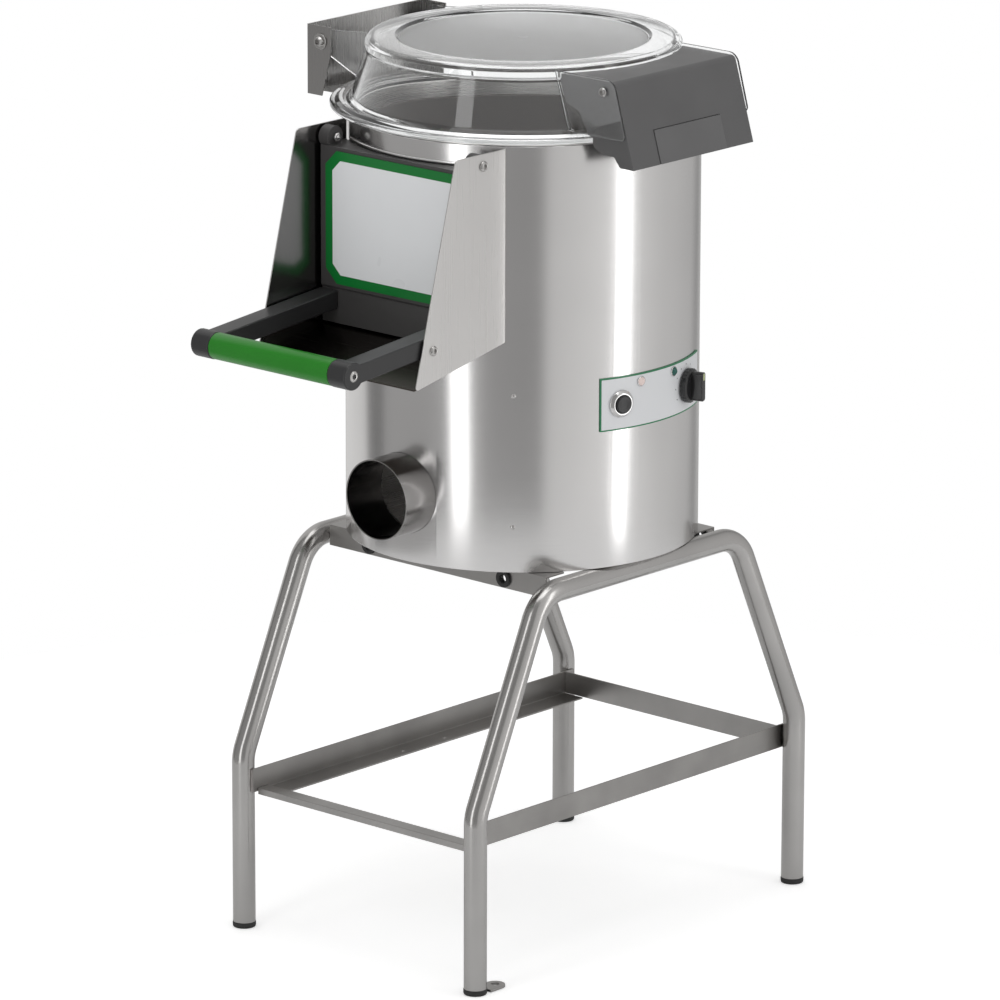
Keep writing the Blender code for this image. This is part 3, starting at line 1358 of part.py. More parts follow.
def main():
    clear_scene()
    steel = finish("brushed stainless", (0.55, 0.54, 0.52), 0.32, 1.0)
    bright = finish("polished fasteners", (0.72, 0.71, 0.69), 0.2, 1.0)
    cast = finish("cast aluminium", (0.5, 0.5, 0.5), 0.5, 1.0)
    rubber = finish("black rubber", (0.015, 0.015, 0.015), 0.7)
    dark = finish("dark grey plastic", (0.075, 0.075, 0.075), 0.5)
    black = finish("black plastic", (0.02, 0.02, 0.02), 0.4)
    clear = finish("clear polycarbonate", (0.9, 0.92, 0.93), 0.05, 0.0, 0.9)
    white = finish("pale grey label", (0.72, 0.74, 0.76), 0.4)
    green = finish("green grip", (0.012, 0.21, 0.008), 0.45)
    green_glass = finish("green lamp", (0.0, 0.12, 0.07), 0.2)
    glass = finish("clear lamp", (0.8, 0.78, 0.72), 0.2)
    grit = finish("abrasive grit", (0.12, 0.11, 0.10), 0.95)
    paint = finish("motor paint", (0.08, 0.09, 0.1), 0.5)
    brass = finish("nickel plated brass", (0.6, 0.55, 0.42), 0.3, 1.0)

    machine = carrier("peeler", None, (axis_x, axis_y, 0))
    lid = carrier("lid_hinge_axis", machine, (hinge_x, 0, hinge_z))
    door = carrier("door_pivot_axis", machine, (0, -door_pivot_y, door_pivot_z))
    rotor = carrier("disc_axis", machine)
    motor_axis = carrier("motor_axis", machine, (0, motor_y, 0))
    places = {"bezel": (button_azimuth, button_z), "button": (button_azimuth, button_z),
              "clear_lamp": (clear_lamp_azimuth, clear_lamp_z),
              "green_lamp": (green_lamp_azimuth, green_lamp_z),
              "timer": (knob_azimuth, knob_z), "knob": (knob_azimuth, knob_z)}
    holders = {}
    for name, (azimuth, height) in places.items():
        spot = outward(azimuth) * panel_outer + Vector((0, 0, height))
        holders[name] = carrier(name + "_axis", machine, spot, radial_turn(azimuth))

    build_stand(machine, steel, rubber)
    cuts = build_casing(machine, steel)
    build_seal(machine, rubber)
    build_chamber(machine, steel, grit, cuts)
    build_rotor(rotor, grit, steel, cast)
    build_bearings(machine, cast, bright, rubber)
    build_drive(machine, motor_axis, bright, cast, rubber, paint)
    build_back(machine, brass, black)
    build_lid(lid, clear, dark)
    build_hinge(machine, steel, bright)
    build_chute(machine, steel, bright)
    build_door(door, dark, rubber, white, green)
    build_controls(machine, holders, white, bright, black, glass, green_glass, cuts)


main()
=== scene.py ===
# Looks of the electric potato peeler: fine surfaces, finishes, studio and camera
import json
import math

import bmesh
import bpy
import numpy as np
from mathutils import Matrix, Vector

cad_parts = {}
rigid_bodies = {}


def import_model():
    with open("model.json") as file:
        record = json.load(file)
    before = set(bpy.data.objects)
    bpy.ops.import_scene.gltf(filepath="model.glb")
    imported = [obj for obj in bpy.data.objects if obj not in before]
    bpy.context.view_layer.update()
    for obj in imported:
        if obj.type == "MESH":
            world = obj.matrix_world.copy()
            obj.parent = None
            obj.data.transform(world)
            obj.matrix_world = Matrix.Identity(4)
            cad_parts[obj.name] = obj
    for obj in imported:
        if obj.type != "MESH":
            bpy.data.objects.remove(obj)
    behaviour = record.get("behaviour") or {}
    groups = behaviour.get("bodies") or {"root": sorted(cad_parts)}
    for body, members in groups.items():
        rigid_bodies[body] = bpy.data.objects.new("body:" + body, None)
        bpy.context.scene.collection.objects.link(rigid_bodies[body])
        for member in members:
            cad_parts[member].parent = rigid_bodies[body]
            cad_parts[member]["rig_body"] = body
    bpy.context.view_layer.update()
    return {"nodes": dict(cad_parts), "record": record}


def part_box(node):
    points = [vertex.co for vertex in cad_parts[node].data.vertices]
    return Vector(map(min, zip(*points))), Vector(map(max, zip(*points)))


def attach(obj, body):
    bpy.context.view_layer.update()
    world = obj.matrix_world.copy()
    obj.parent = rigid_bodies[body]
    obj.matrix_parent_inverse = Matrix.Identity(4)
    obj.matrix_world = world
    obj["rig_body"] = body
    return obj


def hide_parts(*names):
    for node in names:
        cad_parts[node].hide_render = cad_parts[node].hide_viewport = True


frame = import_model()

slotOf = {part["node"]: part["material_slot"] for part in frame["record"]["subparts"]}

# The drum's axis in the frame, halfway between the stand tubes' outer faces and their ends
tubesLow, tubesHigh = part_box("stand_tube_left")[0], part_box("stand_tube_right")[1]
axisX = (tubesLow.x + tubesHigh.x) / 2
axisY = (tubesLow.y + tubesHigh.y) / 2

seatGap = 0.0003          # between two pieces that touch
sink = 0.0002             # how far a thin film goes into what carries it
tiny = 1e-6               # points closer than this are one


# Numpy shapes

def unit(vector):
    vector = np.asarray(vector, float)
    return vector / np.linalg.norm(vector)


def world(points):
    # from the machine's own frame, whose origin is under the drum's axis, to the frame
    return np.asarray(points, float) + np.array([axisX, axisY, 0.0])


def outward(azimuth):
    # level direction at an azimuth round the drum, from -Y towards +X
    return np.array([math.sin(azimuth), -math.cos(azimuth), 0.0])


def rounded(corners, radii, steps=6, closed=False):
    # each corner becomes an arc tangent to both of its sides: the arc swings evenly
    # from the first touching point to the second round the arc's centre
    corners = np.asarray(corners, float)
    radii = np.broadcast_to(radii, len(corners))
    share = np.linspace(0, 1, steps + 1)[:, None]
    run = []
    for at, (corner, radius) in enumerate(zip(corners, radii)):
        before, after = corners[at - 1], corners[(at + 1) % len(corners)]
        if radius < tiny or (not closed and at in (0, len(corners) - 1)):
            run.append(corner[None])
            continue
        back, ahead = unit(before - corner), unit(after - corner)
        half = math.acos(np.clip(back @ ahead, -1, 1)) / 2
        if half > math.pi / 2 - 0.01:
            run.append(corner[None])
            continue
        room = 0.48 * min(np.linalg.norm(before - corner), np.linalg.norm(after - corner))
        reach = min(radius / math.tan(half), room)
        radius = reach * math.tan(half)
        centre = corner + unit(back + ahead) * radius / math.sin(half)
        swing = math.pi - 2 * half
        first, last = corner + back * reach - centre, corner + ahead * reach - centre
        run.append(centre + (np.sin((1 - share) * swing) * first + np.sin(share * swing) * last)
                   / math.sin(swing))
    return np.concatenate(run)


def meshFromGrid(name, grid, roundClosed=True, alongClosed=False):
    # a grid of points [along, round] whose cells become four-sided faces
    rows, columns = grid.shape[:2]
    index = np.arange(rows * columns).reshape(rows, columns)
    beside, above = np.roll(index, -1, 1), np.roll(index, -1, 0)
    cells = np.stack([index, beside, np.roll(above, -1, 1), above], axis=-1)
    cells = cells if alongClosed else cells[:-1]
    cells = cells if roundClosed else cells[:, :-1]
    mesh = bpy.data.meshes.new(name)
    mesh.from_pydata(grid.reshape(-1, 3).tolist(), [], cells.reshape(-1, 4).tolist())
    return mesh


def cleaned(mesh, smoothAngle=32.0):
    # doubles merged, poles closed, faces turned outwards, shading smooth up to an angle
    work = bmesh.new()
    work.from_mesh(mesh)
    bmesh.ops.remove_doubles(work, verts=work.verts, dist=tiny)
    bmesh.ops.dissolve_degenerate(work, edges=work.edges, dist=tiny)
    bmesh.ops.recalc_face_normals(work, faces=work.faces)
    work.to_mesh(mesh)
    work.free()
    mesh.shade_smooth()
    mesh.set_sharp_from_angle(angle=math.radians(smoothAngle))
    return mesh


def sideways(axis):
    # two directions square to an axis and to each other
    axis = unit(axis)
    guide = np.array([0.0, 0.0, 1.0]) if abs(axis[2]) < 0.9 else np.array([1.0, 0.0, 0.0])
    first = unit(np.cross(guide, axis))
    return first, np.cross(axis, first), axis


def turnedMesh(name, profile, place=(0, 0, 0), axis=(0, 0, 1), sides=96, closed=False, edge=None):
    # a profile of (radius, height) pairs carried round an axis: a point is the place
    # plus radius times (cos, sin) of the turn plus height along the axis
    profile = np.asarray(profile, float)
    turn = np.linspace(0, 2 * np.pi, sides, endpoint=False)
    radius = np.repeat(profile[:, 0, None], sides, axis=1)
    if edge is not None:
        radius = edge(radius, profile[:, 1, None], turn[None])
    first, second, axis = sideways(axis)
    grid = (radius * np.cos(turn))[..., None] * first + (radius * np.sin(turn))[..., None] * second
    grid = grid + profile[:, 1, None, None] * axis + world(place)
    return cleaned(meshFromGrid(name, grid, alongClosed=closed))


def sweptMesh(name, path, radius, across, sides=36, ripple=None):
    # a circle carried along a flat path and square to it; the ends close to points
    path = np.asarray(path, float)
    legs = np.diff(path, axis=0)
    legs /= np.linalg.norm(legs, axis=1)[:, None]
    ahead = np.concatenate([legs[:1], legs[:-1] + legs[1:], legs[-1:]])
    ahead /= np.linalg.norm(ahead, axis=1)[:, None]
    across = unit(across)
    up = np.cross(ahead, across)
    size = np.full(len(path), radius) if ripple is None else radius * ripple(np.arange(len(path)))
    size = np.concatenate([[0.0], size, [0.0]])
    path = np.concatenate([path[:1], path, path[-1:]])
    up = np.concatenate([up[:1], up, up[-1:]])
    turn = np.linspace(0, 2 * np.pi, sides, endpoint=False)
    ringShape = np.cos(turn)[None, :, None] * across + np.sin(turn)[None, :, None] * up[:, None]
    return cleaned(meshFromGrid(name, world(path)[:, None] + size[:, None, None] * ringShape))


def plateMesh(name, outline, thickness, place, first, second):
    # a flat outline and its copy one thickness behind, joined by a wall all round
    outline = np.asarray(outline, float)
    first, second = unit(first), unit(second)
    normal = np.cross(first, second)
    front = world(place) + outline[:, :1] * first + outline[:, 1:] * second
    count = len(outline)
    ringIndex = np.arange(count)
    nextIndex = np.roll(ringIndex, -1)
    walls = np.stack([ringIndex, nextIndex, nextIndex + count, ringIndex + count], axis=-1).tolist()
    mesh = bpy.data.meshes.new(name)
    points = np.concatenate([front, front - normal * thickness]).tolist()
    mesh.from_pydata(points, [], walls + [ringIndex[::-1].tolist(), (ringIndex + count).tolist()])
    return cleaned(mesh)


def curvedMesh(name, inner, outer, start, end, low, high, columns=60, corner=0.0):
    # a slab bent round the drum's axis: azimuth runs one way of the grid, and the other
    # way goes round the slab's cross-section
    azimuth = np.linspace(start, end, columns)
    section = rounded([(inner, low), (outer, low), (outer, high), (inner, high)],
                      [0, corner, corner, 0], steps=3, closed=True)
    reach = section[:, 0, None]
    grid = np.stack([reach * np.sin(azimuth), -reach * np.cos(azimuth),
                     section[:, 1, None] + 0 * azimuth], axis=-1).transpose(1, 0, 2)
    caps = grid.mean(axis=1, keepdims=True)
    grid = np.concatenate([np.repeat(caps[:1], grid.shape[1], 1), grid,
                           np.repeat(caps[-1:], grid.shape[1], 1)])
    return cleaned(meshFromGrid(name, world(grid)))


# Pieces in the frame

def addPiece(name, mesh, finish, body, standsFor=()):
    piece = bpy.data.objects.new(name, mesh)
    bpy.context.scene.collection.objects.link(piece)
    mesh.materials.clear()
    mesh.materials.append(finish)
    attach(piece, body)
    if standsFor:
        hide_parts(*standsFor)
    return piece


def softenEdges(piece, width, segments=2, angle=35.0):
    bevel = piece.modifiers.new("softEdges", "BEVEL")
    bevel.width = width
    bevel.segments = segments
    bevel.limit_method = "ANGLE"
    bevel.angle_limit = math.radians(angle)
    bevel.harden_normals = True
    return piece


def dressed(node, finish, width=0.0004, segments=2, angle=35.0):
    # the frame's own solid with its triangles merged to flat faces and its edges rounded
    source = frame["nodes"][node]
    mesh = source.data.copy()
    work = bmesh.new()
    work.from_mesh(mesh)
    bmesh.ops.remove_doubles(work, verts=work.verts, dist=tiny)
    bmesh.ops.dissolve_limit(work, angle_limit=math.radians(0.5), verts=work.verts, edges=work.edges)
    work.to_mesh(mesh)
    work.free()
    mesh.shade_smooth()
    mesh.set_sharp_from_angle(angle=math.radians(30))
    piece = addPiece("fine_" + node, mesh, finish, source["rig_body"], [node])
    return softenEdges(piece, width, segments, angle)


def facesTowards(piece, direction, finish):
    # a second finish on the faces whose normals lie along a direction
    mesh = piece.data
    normals = np.empty(len(mesh.polygons) * 3, np.float32)
    mesh.polygons.foreach_get("normal", normals)
    chosen = normals.reshape(-1, 3) @ np.asarray(direction, np.float32) > 0.9
    mesh.materials.append(finish)
    mesh.polygons.foreach_set("material_index", chosen.astype(np.int32))


def cutBy(piece, tools):
    # the tools' shapes come out of the piece; the tools stay for the next one
    for tool in tools:
        step = piece.modifiers.new("cut", "BOOLEAN")
        step.operation = "DIFFERENCE"
        step.object = tool
        step.solver = "EXACT"
    bpy.context.view_layer.update()
    graph = bpy.context.evaluated_depsgraph_get()
    mesh = bpy.data.meshes.new_from_object(piece.evaluated_get(graph))
    piece.modifiers.clear()
    piece.data = mesh
    mesh.shade_smooth()
    mesh.set_sharp_from_angle(angle=math.radians(30))


def cutter(name, mesh):
    tool = bpy.data.objects.new(name, mesh)
    bpy.context.scene.collection.objects.link(tool)
    tool.hide_render = True
    tool.display_type = "WIRE"
    return tool


def dropTools(tools):
    for tool in tools:
        bpy.data.objects.remove(tool)


# Finishes

def startFinish(name, colour, roughness, metallic=0.0):
    finish = bpy.data.materials.new(name)
    finish.use_nodes = True
    tree = finish.node_tree
    shader = tree.nodes["Principled BSDF"]
    shader.inputs["Base Color"].default_value = (*colour, 1.0)
    shader.inputs["Roughness"].default_value = roughness
    shader.inputs["Metallic"].default_value = metallic
    return finish, tree, shader


def addNode(tree, kind, values=None, **settings):
    # a shader node with its settings, then its sockets' values
    node = tree.nodes.new("ShaderNode" + kind)
    for setting, value in settings.items():
        setattr(node, setting, value)
    for socket, value in (values or {}).items():
        node.inputs[socket].default_value = value
    return node


def noiseOn(tree, stretch, detail):
    # noise on the object's own coordinates; stretch is how many waves a metre holds each way
    place = addNode(tree, "TexCoord")
    mapping = addNode(tree, "Mapping", {"Scale": stretch})
    noise = addNode(tree, "TexNoise", {"Scale": 1.0, "Detail": detail})
    tree.links.new(place.outputs["Object"], mapping.inputs["Vector"])
    tree.links.new(mapping.outputs["Vector"], noise.inputs["Vector"])
    return noise.outputs["Fac"]


def between(tree, source, low, high, start=0.3, end=0.7):
    # the source's stretch from start to end, spread from low to high
    spread = addNode(tree, "MapRange", {"From Min": start, "From Max": end, "To Min": low, "To Max": high})
    tree.links.new(source, spread.inputs["Value"])
    return spread.outputs["Result"]


def mixColours(tree, share, first, second):
    # colours or sockets mixed by a share
    mix = addNode(tree, "Mix", data_type="RGBA")
    tree.links.new(share, mix.inputs[0])
    for socket, colour in ((6, first), (7, second)):
        if isinstance(colour, tuple):
            mix.inputs[socket].default_value = (*colour, 1.0)
        else:
            tree.links.new(colour, mix.inputs[socket])
    return mix.outputs[2]


def blendColours(tree, source, first, second, target):
    tree.links.new(mixColours(tree, between(tree, source, 0.0, 1.0), first, second), target)


def addBump(tree, shader, source, strength, depth):
    bump = addNode(tree, "Bump", {"Strength": strength, "Distance": depth})
    tree.links.new(source, bump.inputs["Height"])
    tree.links.new(bump.outputs["Normal"], shader.inputs["Normal"])


def shade(colour, share):
    return tuple(channel * share for channel in colour)


def steelFinish(name, tint, roughness, grain, depth=0.000006, cloud=5.0, variety=0.04):
    # rolled steel: long fine scratches along the grain, and slow clouds of colour
    finish, tree, shader = startFinish(name, tint, roughness, 1.0)
    scratches = noiseOn(tree, grain, 2.0)
    clouds = noiseOn(tree, (cloud, cloud, cloud), 2.0)
    blendColours(tree, clouds, shade(tint, 1 - variety), shade(tint, 1 + variety),
                 shader.inputs["Base Color"])
    tree.links.new(between(tree, scratches, roughness * 0.9, roughness * 1.1), shader.inputs["Roughness"])
    addBump(tree, shader, scratches, 0.3, depth)
    return finish


def mouldedFinish(name, colour, roughness, grain=900.0, depth=0.00003, variety=0.06):
    # moulded plastic or rubber: a fine even grain and a faint change of tone
    finish, tree, shader = startFinish(name, colour, roughness)
    pores = noiseOn(tree, (grain, grain, grain), 2.0)
    tone = noiseOn(tree, (14.0, 14.0, 14.0), 2.0)
    blendColours(tree, tone, shade(colour, 1 - variety), shade(colour, 1 + variety),
                 shader.inputs["Base Color"])
    tree.links.new(between(tree, tone, roughness * 0.88, roughness * 1.12), shader.inputs["Roughness"])
    addBump(tree, shader, pores, 0.4, depth)
    return finish


frostShape = {"edge": 0.1345, "fade": 0.0006, "roughness": 0.42}


def clearFinish(name, colour, ior):
    # clear moulding, polished, with slow ripples; the well in its middle is frosted, so
    # roughness there depends on the distance from the drum's axis
    finish, tree, shader = startFinish(name, colour, 0.0)
    shader.inputs["Transmission Weight"].default_value = 1.0
    shader.inputs["IOR"].default_value = ior
    addBump(tree, shader, noiseOn(tree, (16.0, 16.0, 16.0), 1.0), 0.12, 0.0004)
    f = frostShape
    place = addNode(tree, "TexCoord")
    centred = addNode(tree, "Mapping", {"Location": (-axisX, -axisY, 0.0), "Scale": (1.0, 1.0, 0.0)})
    reach = addNode(tree, "VectorMath", operation="LENGTH")
    tree.links.new(place.outputs["Object"], centred.inputs["Vector"])
    tree.links.new(centred.outputs["Vector"], reach.inputs[0])
    frost = between(tree, reach.outputs["Value"], f["roughness"], 0.0, f["edge"], f["edge"] + f["fade"])
    tree.links.new(frost, shader.inputs["Roughness"])
    return finish


def gritFinish(name, colour, roughness):
    # abrasive grain bound to a wall: sharp cells of unlike tone that stand proud
    finish, tree, shader = startFinish(name, colour, roughness)
    place = addNode(tree, "TexCoord")
    cells = addNode(tree, "TexVoronoi", {"Scale": 800.0})
    tree.links.new(place.outputs["Object"], cells.inputs["Vector"])
    blendColours(tree, cells.outputs["Distance"], shade(colour, 1.25), shade(colour, 0.8),
                 shader.inputs["Base Color"])
    addBump(tree, shader, cells.outputs["Distance"], 0.6, 0.0002)
    return finish


# Grain directions: how many waves a metre holds each way
aroundDrum = (9.0, 9.0, 1500.0)
alongY = (1300.0, 9.0, 1300.0)
alongX = (9.0, 1300.0, 1300.0)
alongZ = (1300.0, 1300.0, 9.0)

drumSteel = steelFinish("drumSteel", (0.75, 0.742, 0.738), 0.20, aroundDrum, 0.000004)
plateSteel = steelFinish("plateSteel", (0.70, 0.69, 0.68), 0.30, alongZ)
# darker copy of the plates' steel for their inner faces: painted shade
plateInnerPaintedShade = steelFinish("plateInnerPaintedShade", (0.27, 0.265, 0.26), 0.22, alongZ)
# near-black steel for the chute's floor: painted shade
chuteFloorPaintedShade = steelFinish("chuteFloorPaintedShade", (0.10, 0.085, 0.075), 0.25, alongX)
bracketSteel = steelFinish("bracketSteel", (0.42, 0.412, 0.405), 0.28, alongZ)
tubeSteel = steelFinish("tubeSteel", (0.50, 0.49, 0.48), 0.24, alongZ, cloud=11.0, variety=0.06)
railSteel = steelFinish("railSteel", (0.36, 0.35, 0.34), 0.36, alongY, cloud=16.0, variety=0.10)
crossSteel = steelFinish("crossSteel", (0.42, 0.41, 0.40), 0.33, alongX, cloud=16.0, variety=0.08)
spoutSteel = steelFinish("spoutSteel", (0.34, 0.33, 0.325), 0.18, (1300.0, 9.0, 9.0), variety=0.08)
# brighter copy of the drum's steel for the doorway's lip: a painted highlight
rimHighlightSteel = steelFinish("rimHighlightSteel", (0.86, 0.855, 0.85), 0.22, aroundDrum)
innerSteel = steelFinish("innerSteel", (0.62, 0.61, 0.60), 0.28, aroundDrum)
weldSteel = steelFinish("weldSteel", (0.34, 0.32, 0.31), 0.45, (700.0, 700.0, 700.0), 0.00008, variety=0.25)
screwSteel = steelFinish("screwSteel", (0.56, 0.55, 0.54), 0.24, (500.0, 500.0, 500.0))
chrome = steelFinish("chrome", (0.72, 0.715, 0.71), 0.14, (500.0, 500.0, 500.0))
castMetal = steelFinish("castMetal", (0.50, 0.50, 0.50), 0.50, (600.0, 600.0, 600.0), 0.00008)
platedBrass = steelFinish("platedBrass", (0.62, 0.56, 0.43), 0.25, alongX)
motorPaint = mouldedFinish("motorPaint", (0.10, 0.11, 0.12), 0.45, 500.0)
darkPlastic = mouldedFinish("darkPlastic", (0.098, 0.097, 0.098), 0.42)
padPlastic = mouldedFinish("padPlastic", (0.118, 0.117, 0.118), 0.46)
doorPlastic = mouldedFinish("doorPlastic", (0.055, 0.053, 0.053), 0.40)
armPlastic = mouldedFinish("armPlastic", (0.028, 0.028, 0.029), 0.34)
blackPlastic = mouldedFinish("blackPlastic", (0.016, 0.016, 0.017), 0.28, 700.0)
blackRubber = mouldedFinish("blackRubber", (0.022, 0.022, 0.022), 0.60, 500.0)
greenPlastic = mouldedFinish("greenPlastic", (0.010, 0.20, 0.006), 0.34, 600.0)
labelPale = mouldedFinish("labelPale", (0.79, 0.80, 0.815), 0.30, 800.0, 0.00001, 0.015)
labelGreen = mouldedFinish("labelGreen", (0.0, 0.175, 0.026), 0.32, 800.0, 0.00001, 0.04)
panelPale = mouldedFinish("panelPale", (0.74, 0.75, 0.765), 0.30, 800.0, 0.00001, 0.015)
panelGreen = mouldedFinish("panelGreen", (0.012, 0.19, 0.075), 0.32, 800.0, 0.00001, 0.04)
markDark = mouldedFinish("markDark", (0.06, 0.07, 0.07), 0.40, 800.0, 0.00001, 0.04)
pointerPale = mouldedFinish("pointerPale", (0.72, 0.80, 0.42), 0.35, 800.0, 0.00001, 0.03)
clearPlastic = clearFinish("clearPlastic", (0.985, 0.99, 0.99), 1.49)
lensClear = mouldedFinish("lensClear", (0.80, 0.66, 0.62), 0.10, 500.0, 0.00001)
lensGreen = mouldedFinish("lensGreen", (0.008, 0.095, 0.075), 0.10, 500.0, 0.00001)
grit = gritFinish("grit", (0.060, 0.050, 0.043), 0.60)
print("finishes ready")

slotFinish = {
    "casing_steel": drumSteel, "stand_steel": tubeSteel, "inner_steel": innerSteel,
    "fastener_steel": screwSteel, "shaft_steel": screwSteel, "cast_metal": castMetal,
    "black_rubber": blackRubber, "dark_plastic": darkPlastic, "black_plastic": blackPlastic,
    "clear_plastic": clearPlastic, "green_plastic": greenPlastic, "label_film": labelPale,
    "lamp_clear_lens": lensClear, "lamp_green_lens": lensGreen, "grit_lining": grit,
    "motor_paint": motorPaint, "plated_brass": platedBrass}
for nodeName, nodeObject in frame["nodes"].items():
    nodeObject.data.materials.clear()
    nodeObject.data.materials.append(slotFinish[slotOf[nodeName]])


# Fasteners, each turned round the direction it points in

rivetShape = {"radius": 0.0028, "height": 0.0011}
screwShape = {"radius": 0.0058, "height": 0.0030, "socket": 0.0030, "depth": 0.0022, "shank": 0.0035,
              "chamfer": 0.0002}


def rivet(name, place, axis, size=1.0, sides=24, finish=None):
    # a low dome: height falls with the square of the distance from the middle
    out = np.linspace(0, 1, 7)
    profile = np.stack([out * rivetShape["radius"] * size,
                        rivetShape["height"] * size * (1 - out ** 2)], axis=-1)
    profile = np.concatenate([profile, [(rivetShape["radius"] * size, -seatGap), (0, -seatGap)]])
    mesh = turnedMesh(name, profile, place, axis, sides)
    addPiece(name, mesh, finish or screwSteel, "machine")


def socketScrew(name, place, axis, body, radius, height, standsFor=(), shank=((0, 0),)):
    # a button head with a six-sided socket: inside the socket the radius follows the hexagon
    socket = screwShape["socket"] * radius / screwShape["radius"]
    floor = height - screwShape["depth"] * height / screwShape["height"]
    head = rounded([(socket * 1.25, height), (radius * 0.72, height), (radius, height * 0.45), (radius, 0)],
                   [0, radius * 0.6, radius * 0.25, 0], steps=4)
    inner = [(0, floor), (socket, floor), (socket, height - screwShape["chamfer"])]
    profile = np.concatenate([inner, head, shank])
    hexRows = len(inner)

    def hexagon(turned, heights, turn):
        flat = math.cos(math.pi / 6) / np.cos((turn + math.pi / 6) % (math.pi / 3) - math.pi / 6)
        turned = turned.copy()
        turned[:hexRows] *= flat
        return turned

    mesh = turnedMesh(name, profile, place, axis, 48, edge=hexagon)
    addPiece(name, mesh, screwSteel, body, standsFor)


# Stand: two bent tubes, feet, crossbars and the shelf frame

standShape = {"tubeRadius": 0.0125, "legX": 0.17175, "legY": 0.2642, "bendZ": 0.1976, "topY": 0.1613,
              "topZ": 0.4352, "bend": 0.045, "footHeight": 0.006, "footLip": 0.0004,
              "barY": 0.139, "grommetZ": 0.4228, "grommetRadius": 0.0098, "grommetBore": 0.0046,
              "grommetHalf": 0.0043, "grommetInset": 0.001, "frontGrommetX": 0.099, "rearGrommetX": 0.140,
              "railFace": 0.15895, "railLow": 0.156, "railHigh": 0.183, "beadRadius": 0.0017,
              "beadInset": 0.001, "railRivetX": 0.138, "railRivetYs": (-0.043, 0.025), "railFlangeZ": 0.1575,
              "railRivetSize": 1.3}


def makeStand():
    s = standShape
    rise = s["topZ"] - s["tubeRadius"]
    foot = s["footHeight"] + seatGap
    for side, word in ((-1, "left"), (1, "right")):
        x = side * s["legX"]
        corners = [(x, -s["legY"], foot), (x, -s["legY"], s["bendZ"]), (x, -s["topY"], rise),
                   (x, s["topY"], rise), (x, s["legY"], s["bendZ"]), (x, s["legY"], foot)]
        path = rounded(corners, s["bend"], steps=20)
        addPiece("leg_tube_" + word, sweptMesh("leg_tube_" + word, path, s["tubeRadius"], (1, 0, 0), 48),
                 tubeSteel, "machine", ["stand_tube_" + word])
        for end, along in ((-1, "front"), (1, "rear")):
            name = "foot_" + along + "_" + word
            radius = s["tubeRadius"] + s["footLip"]
            profile = rounded([(0, 0), (radius * 0.96, 0), (radius, s["footHeight"] * 0.3),
                               (radius, s["footHeight"]), (s["tubeRadius"] * 0.9, s["footHeight"]),
                               (0, s["footHeight"])], [0, 0.0008, 0.0008, 0.0006, 0, 0])
            node = "foot_cap_" + along + "_" + word
            addPiece(name, turnedMesh(name, profile, (x, end * s["legY"], 0), sides=48), blackRubber,
                     "machine", [node])
    for node in ("stand_bar_front", "stand_bar_rear", "shelf_rail_rear", "shelf_strip_front"):
        dressed(node, crossSteel, 0.0005)
    for node in ("shelf_rail_left", "shelf_rail_right"):
        dressed(node, railSteel, 0.0006)
    dressed("floor_lug", crossSteel, 0.0004)


def makeGrommets():
    # plain rubber rings round the crossbars' holes; the frame has nodes for the front pair alone
    s = standShape
    half, radius, bore = s["grommetHalf"], s["grommetRadius"], s["grommetBore"]
    profile = rounded([(bore, -half), (radius, -half), (radius, half), (bore, half)], 0.0016, closed=True)
    for end, along, reach in ((-1, "front", s["frontGrommetX"]), (1, "rear", s["rearGrommetX"])):
        for side, word in ((-1, "left"), (1, "right")):
            name = "grommet_" + along + "_" + word
            place = (side * reach, end * (s["barY"] - s["grommetInset"]), s["grommetZ"])
            mesh = turnedMesh(name, profile, place, (0, 1, 0), 40, closed=True)
            nodes = ["bar_grommet_" + word] if along == "front" else []
            addPiece(name, mesh, blackRubber, "machine", nodes)


def makeWelds():
    # short rippled beads where the rails meet the tubes: the bead's radius swells and
    # shrinks with the square of a sine along its length
    s = standShape
    x, y = s["railFace"] - sink, s["legY"] + 2 * sink
    steps = 60
    heights = np.linspace(s["railLow"] + s["beadInset"], s["railHigh"] - s["beadInset"] / 2, steps)
    for side, word in ((-1, "left"), (1, "right")):
        for end, along in ((-1, "front"), (1, "rear")):
            path = np.stack([np.full(steps, side * x), np.full(steps, end * y), heights], axis=-1)
            name = "rail_weld_" + along + "_" + word
            mesh = sweptMesh(name, path, s["beadRadius"], (1, 0, 0), 10,
                             lambda step: 0.85 + 0.15 * np.sin(step * 1.3) ** 2)
            addPiece(name, mesh, weldSteel, "machine")


def makeShelfRivets():
    # flat rivets down through the left rail's level flange, along its length
    s = standShape
    for at, y in enumerate(s["railRivetYs"]):
        place = (-s["railRivetX"], y, s["railFlangeZ"])
        rivet(f"rail_rivet_{at}", place, (0, 0, 1), s["railRivetSize"], finish=crossSteel)


makeStand()
makeGrommets()
makeWelds()
makeShelfRivets()
print("stand ready")


# Drum, chamber and lining, with the doorway and the other holes cut through them

